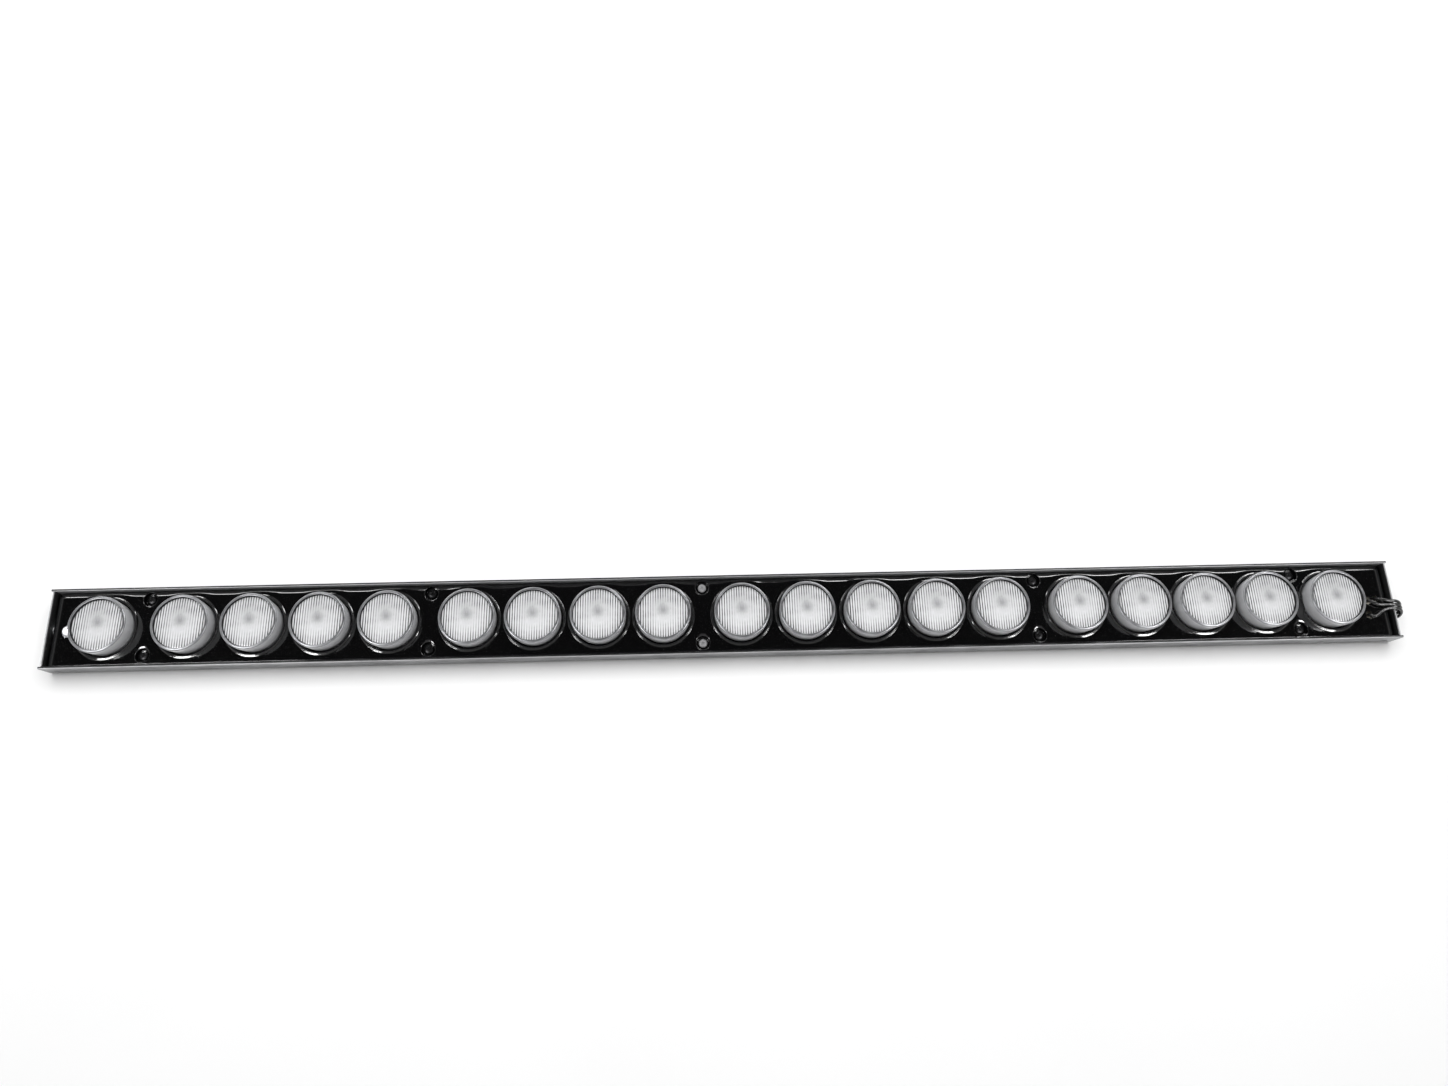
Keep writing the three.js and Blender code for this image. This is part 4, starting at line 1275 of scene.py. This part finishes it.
# %% Finish the pieces inside
for node, material, slot in (
    ("lamp_bar", GALVANISED, "bar_metal"),
    ("terminal_block", CREAM, "terminal_plastic"),
    ("wiring_harness", LEAD_BLACK, "lead_insulation"),
):
    solid = frame["nodes"][node]
    solid.data.materials.clear()
    solid.data.materials.append(material)
print("inside pieces finished")

# %% [markdown]
# ## Floor and light
# The batten lies on its back on a plain pale table. The sky is bright low down, which lights the walls, and
# dims towards the top. Gloss black shows whatever hangs above it, so a dark oblong is held there and the tray
# stays black. One large softbox overhead, a little behind, lights everything matt and lays a soft shadow in
# front, but is hidden from gloss. Four small softboxes do the opposite: they show only in gloss, where they
# draw the arcs round the lamp holes and the line along the tray's rear edge. A pin lamp under the tray lights
# the metal that shows through the end hole.

# %% Floor
floor_mesh = bpy.data.meshes.new("table")
floor_build = bmesh.new()
TABLE_HALF = 6
TABLE_DROP = 0.05 * MM
bmesh.ops.create_grid(floor_build, x_segments=24, y_segments=24, size=TABLE_HALF)
floor_build.to_mesh(floor_mesh)
floor_build.free()
floor_finish, floor_shader = start_finish("pale_table", Roughness=0.7)
floor_mottle = lay_noise(floor_finish, (3, 3, 3))
two_tone(floor_finish, floor_shader, floor_mottle, (0.86, 0.86, 0.86), (0.88, 0.88, 0.88))
floor_mesh.materials.append(floor_finish)
floor = bpy.data.objects.new("table", floor_mesh)
floor.location.z = -TABLE_DROP
bpy.context.scene.collection.objects.link(floor)

# %% Sky, with a dark oblong overhead
SKY_LOW = 1.0
SKY_HIGH = 0.36
SKY_BAND = (0.15, 0.6)
CARD_GLOW = 0.02
CARD_MIDDLE = 0.42
CARD_LENGTH = 0.8
CARD_WIDTH = 0.46
CARD_EDGE = (0.9, 1.5)


def make_sky():
    """A sky that is brightest low down, but for a dark oblong above the batten. The oblong is drawn in
    slopes: how far a direction leans along X or Y for each step up."""
    world = bpy.data.worlds.new("sky")
    world.use_nodes = True
    tree = world.node_tree
    parts = tree.nodes.new("ShaderNodeSeparateXYZ")
    tree.links.new(tree.nodes.new("ShaderNodeTexCoord").outputs["Generated"], parts.inputs["Vector"])
    up = reckon(tree, "MAXIMUM", parts.outputs["Z"], 0.02)
    lean_x = reckon(tree, "DIVIDE", parts.outputs["X"], up)
    lean_y = reckon(tree, "DIVIDE", parts.outputs["Y"], up)
    along = reckon(tree, "DIVIDE", lean_x, CARD_LENGTH)
    across = reckon(tree, "DIVIDE", reckon(tree, "SUBTRACT", lean_y, CARD_MIDDLE), CARD_WIDTH)
    squares = [reckon(tree, "POWER", reckon(tree, "ABSOLUTE", lean), 2) for lean in (along, across)]
    from_card = reckon(tree, "SQRT", reckon(tree, "ADD", *squares))
    height = spread(world, parts.outputs["Z"], SKY_LOW, SKY_HIGH, SKY_BAND)
    edge = tree.nodes.new("ShaderNodeMapRange")
    edge.interpolation_type = "SMOOTHSTEP"
    edge.inputs["From Min"].default_value = CARD_EDGE[0]
    edge.inputs["From Max"].default_value = CARD_EDGE[1]
    edge.inputs["To Min"].default_value = CARD_GLOW
    tree.links.new(height, edge.inputs["To Max"])
    tree.links.new(from_card, edge.inputs["Value"])
    tree.links.new(edge.outputs["Result"], tree.nodes["Background"].inputs["Strength"])
    tree.nodes["Background"].inputs["Color"].default_value = (1, 1, 1, 1)
    bpy.context.scene.world = world


make_sky()


# %% Softboxes
def softbox(name, place, size, power, aim):
    light = bpy.data.lights.new(name, "AREA")
    light.shape = "RECTANGLE"
    light.size, light.size_y = size
    light.energy = power
    box = bpy.data.objects.new(name, light)
    box.location = place
    box.rotation_euler = (Vector(aim) - Vector(place)).to_track_quat("-Z", "Y").to_euler()
    box.visible_camera = False
    bpy.context.scene.collection.objects.link(box)
    return box


OVERHEAD_BEHIND = 0.78
OVERHEAD_HEIGHT = 2.0
overhead = softbox("overhead_softbox", (0, OVERHEAD_BEHIND, OVERHEAD_HEIGHT), (3.0, 1.65), 66,
                   (0, OVERHEAD_BEHIND, 0))
overhead.visible_glossy = False
for name, place, size, power in (
    ("rear_right_softbox", (0.95, 1.35, 1.25), (1.4, 0.24), 17),
    ("rear_left_softbox", (-1.15, 1.35, 1.25), (0.9, 0.26), 8),
    ("front_right_softbox", (1.0, -0.38, 1.2), (0.42, 0.34), 11),
    ("front_left_softbox", (-1.0, -0.38, 1.2), (0.42, 0.34), 11),
):
    accent = softbox(name, place, size, power, (place[0], 0, 0))
    accent.visible_diffuse = False

# %% Pin lamp
PIN_FROM_END = 5.4 * MM
PIN_RADIUS = 1 * MM
PIN_POWER = 0.012
pin = bpy.data.lights.new("pin_lamp", "POINT")
pin.energy = PIN_POWER
pin.shadow_soft_size = PIN_RADIUS
pin_lamp = bpy.data.objects.new("pin_lamp", pin)
pin_lamp.location = (channel_low.x + PIN_FROM_END, 3.4 * MM, 7.5 * MM)
pin_lamp.visible_camera = False
bpy.context.scene.collection.objects.link(pin_lamp)
bpy.context.scene.view_settings.view_transform = "Standard"
print("sky", SKY_LOW, "to", SKY_HIGH, "with 5 softboxes and a pin lamp")
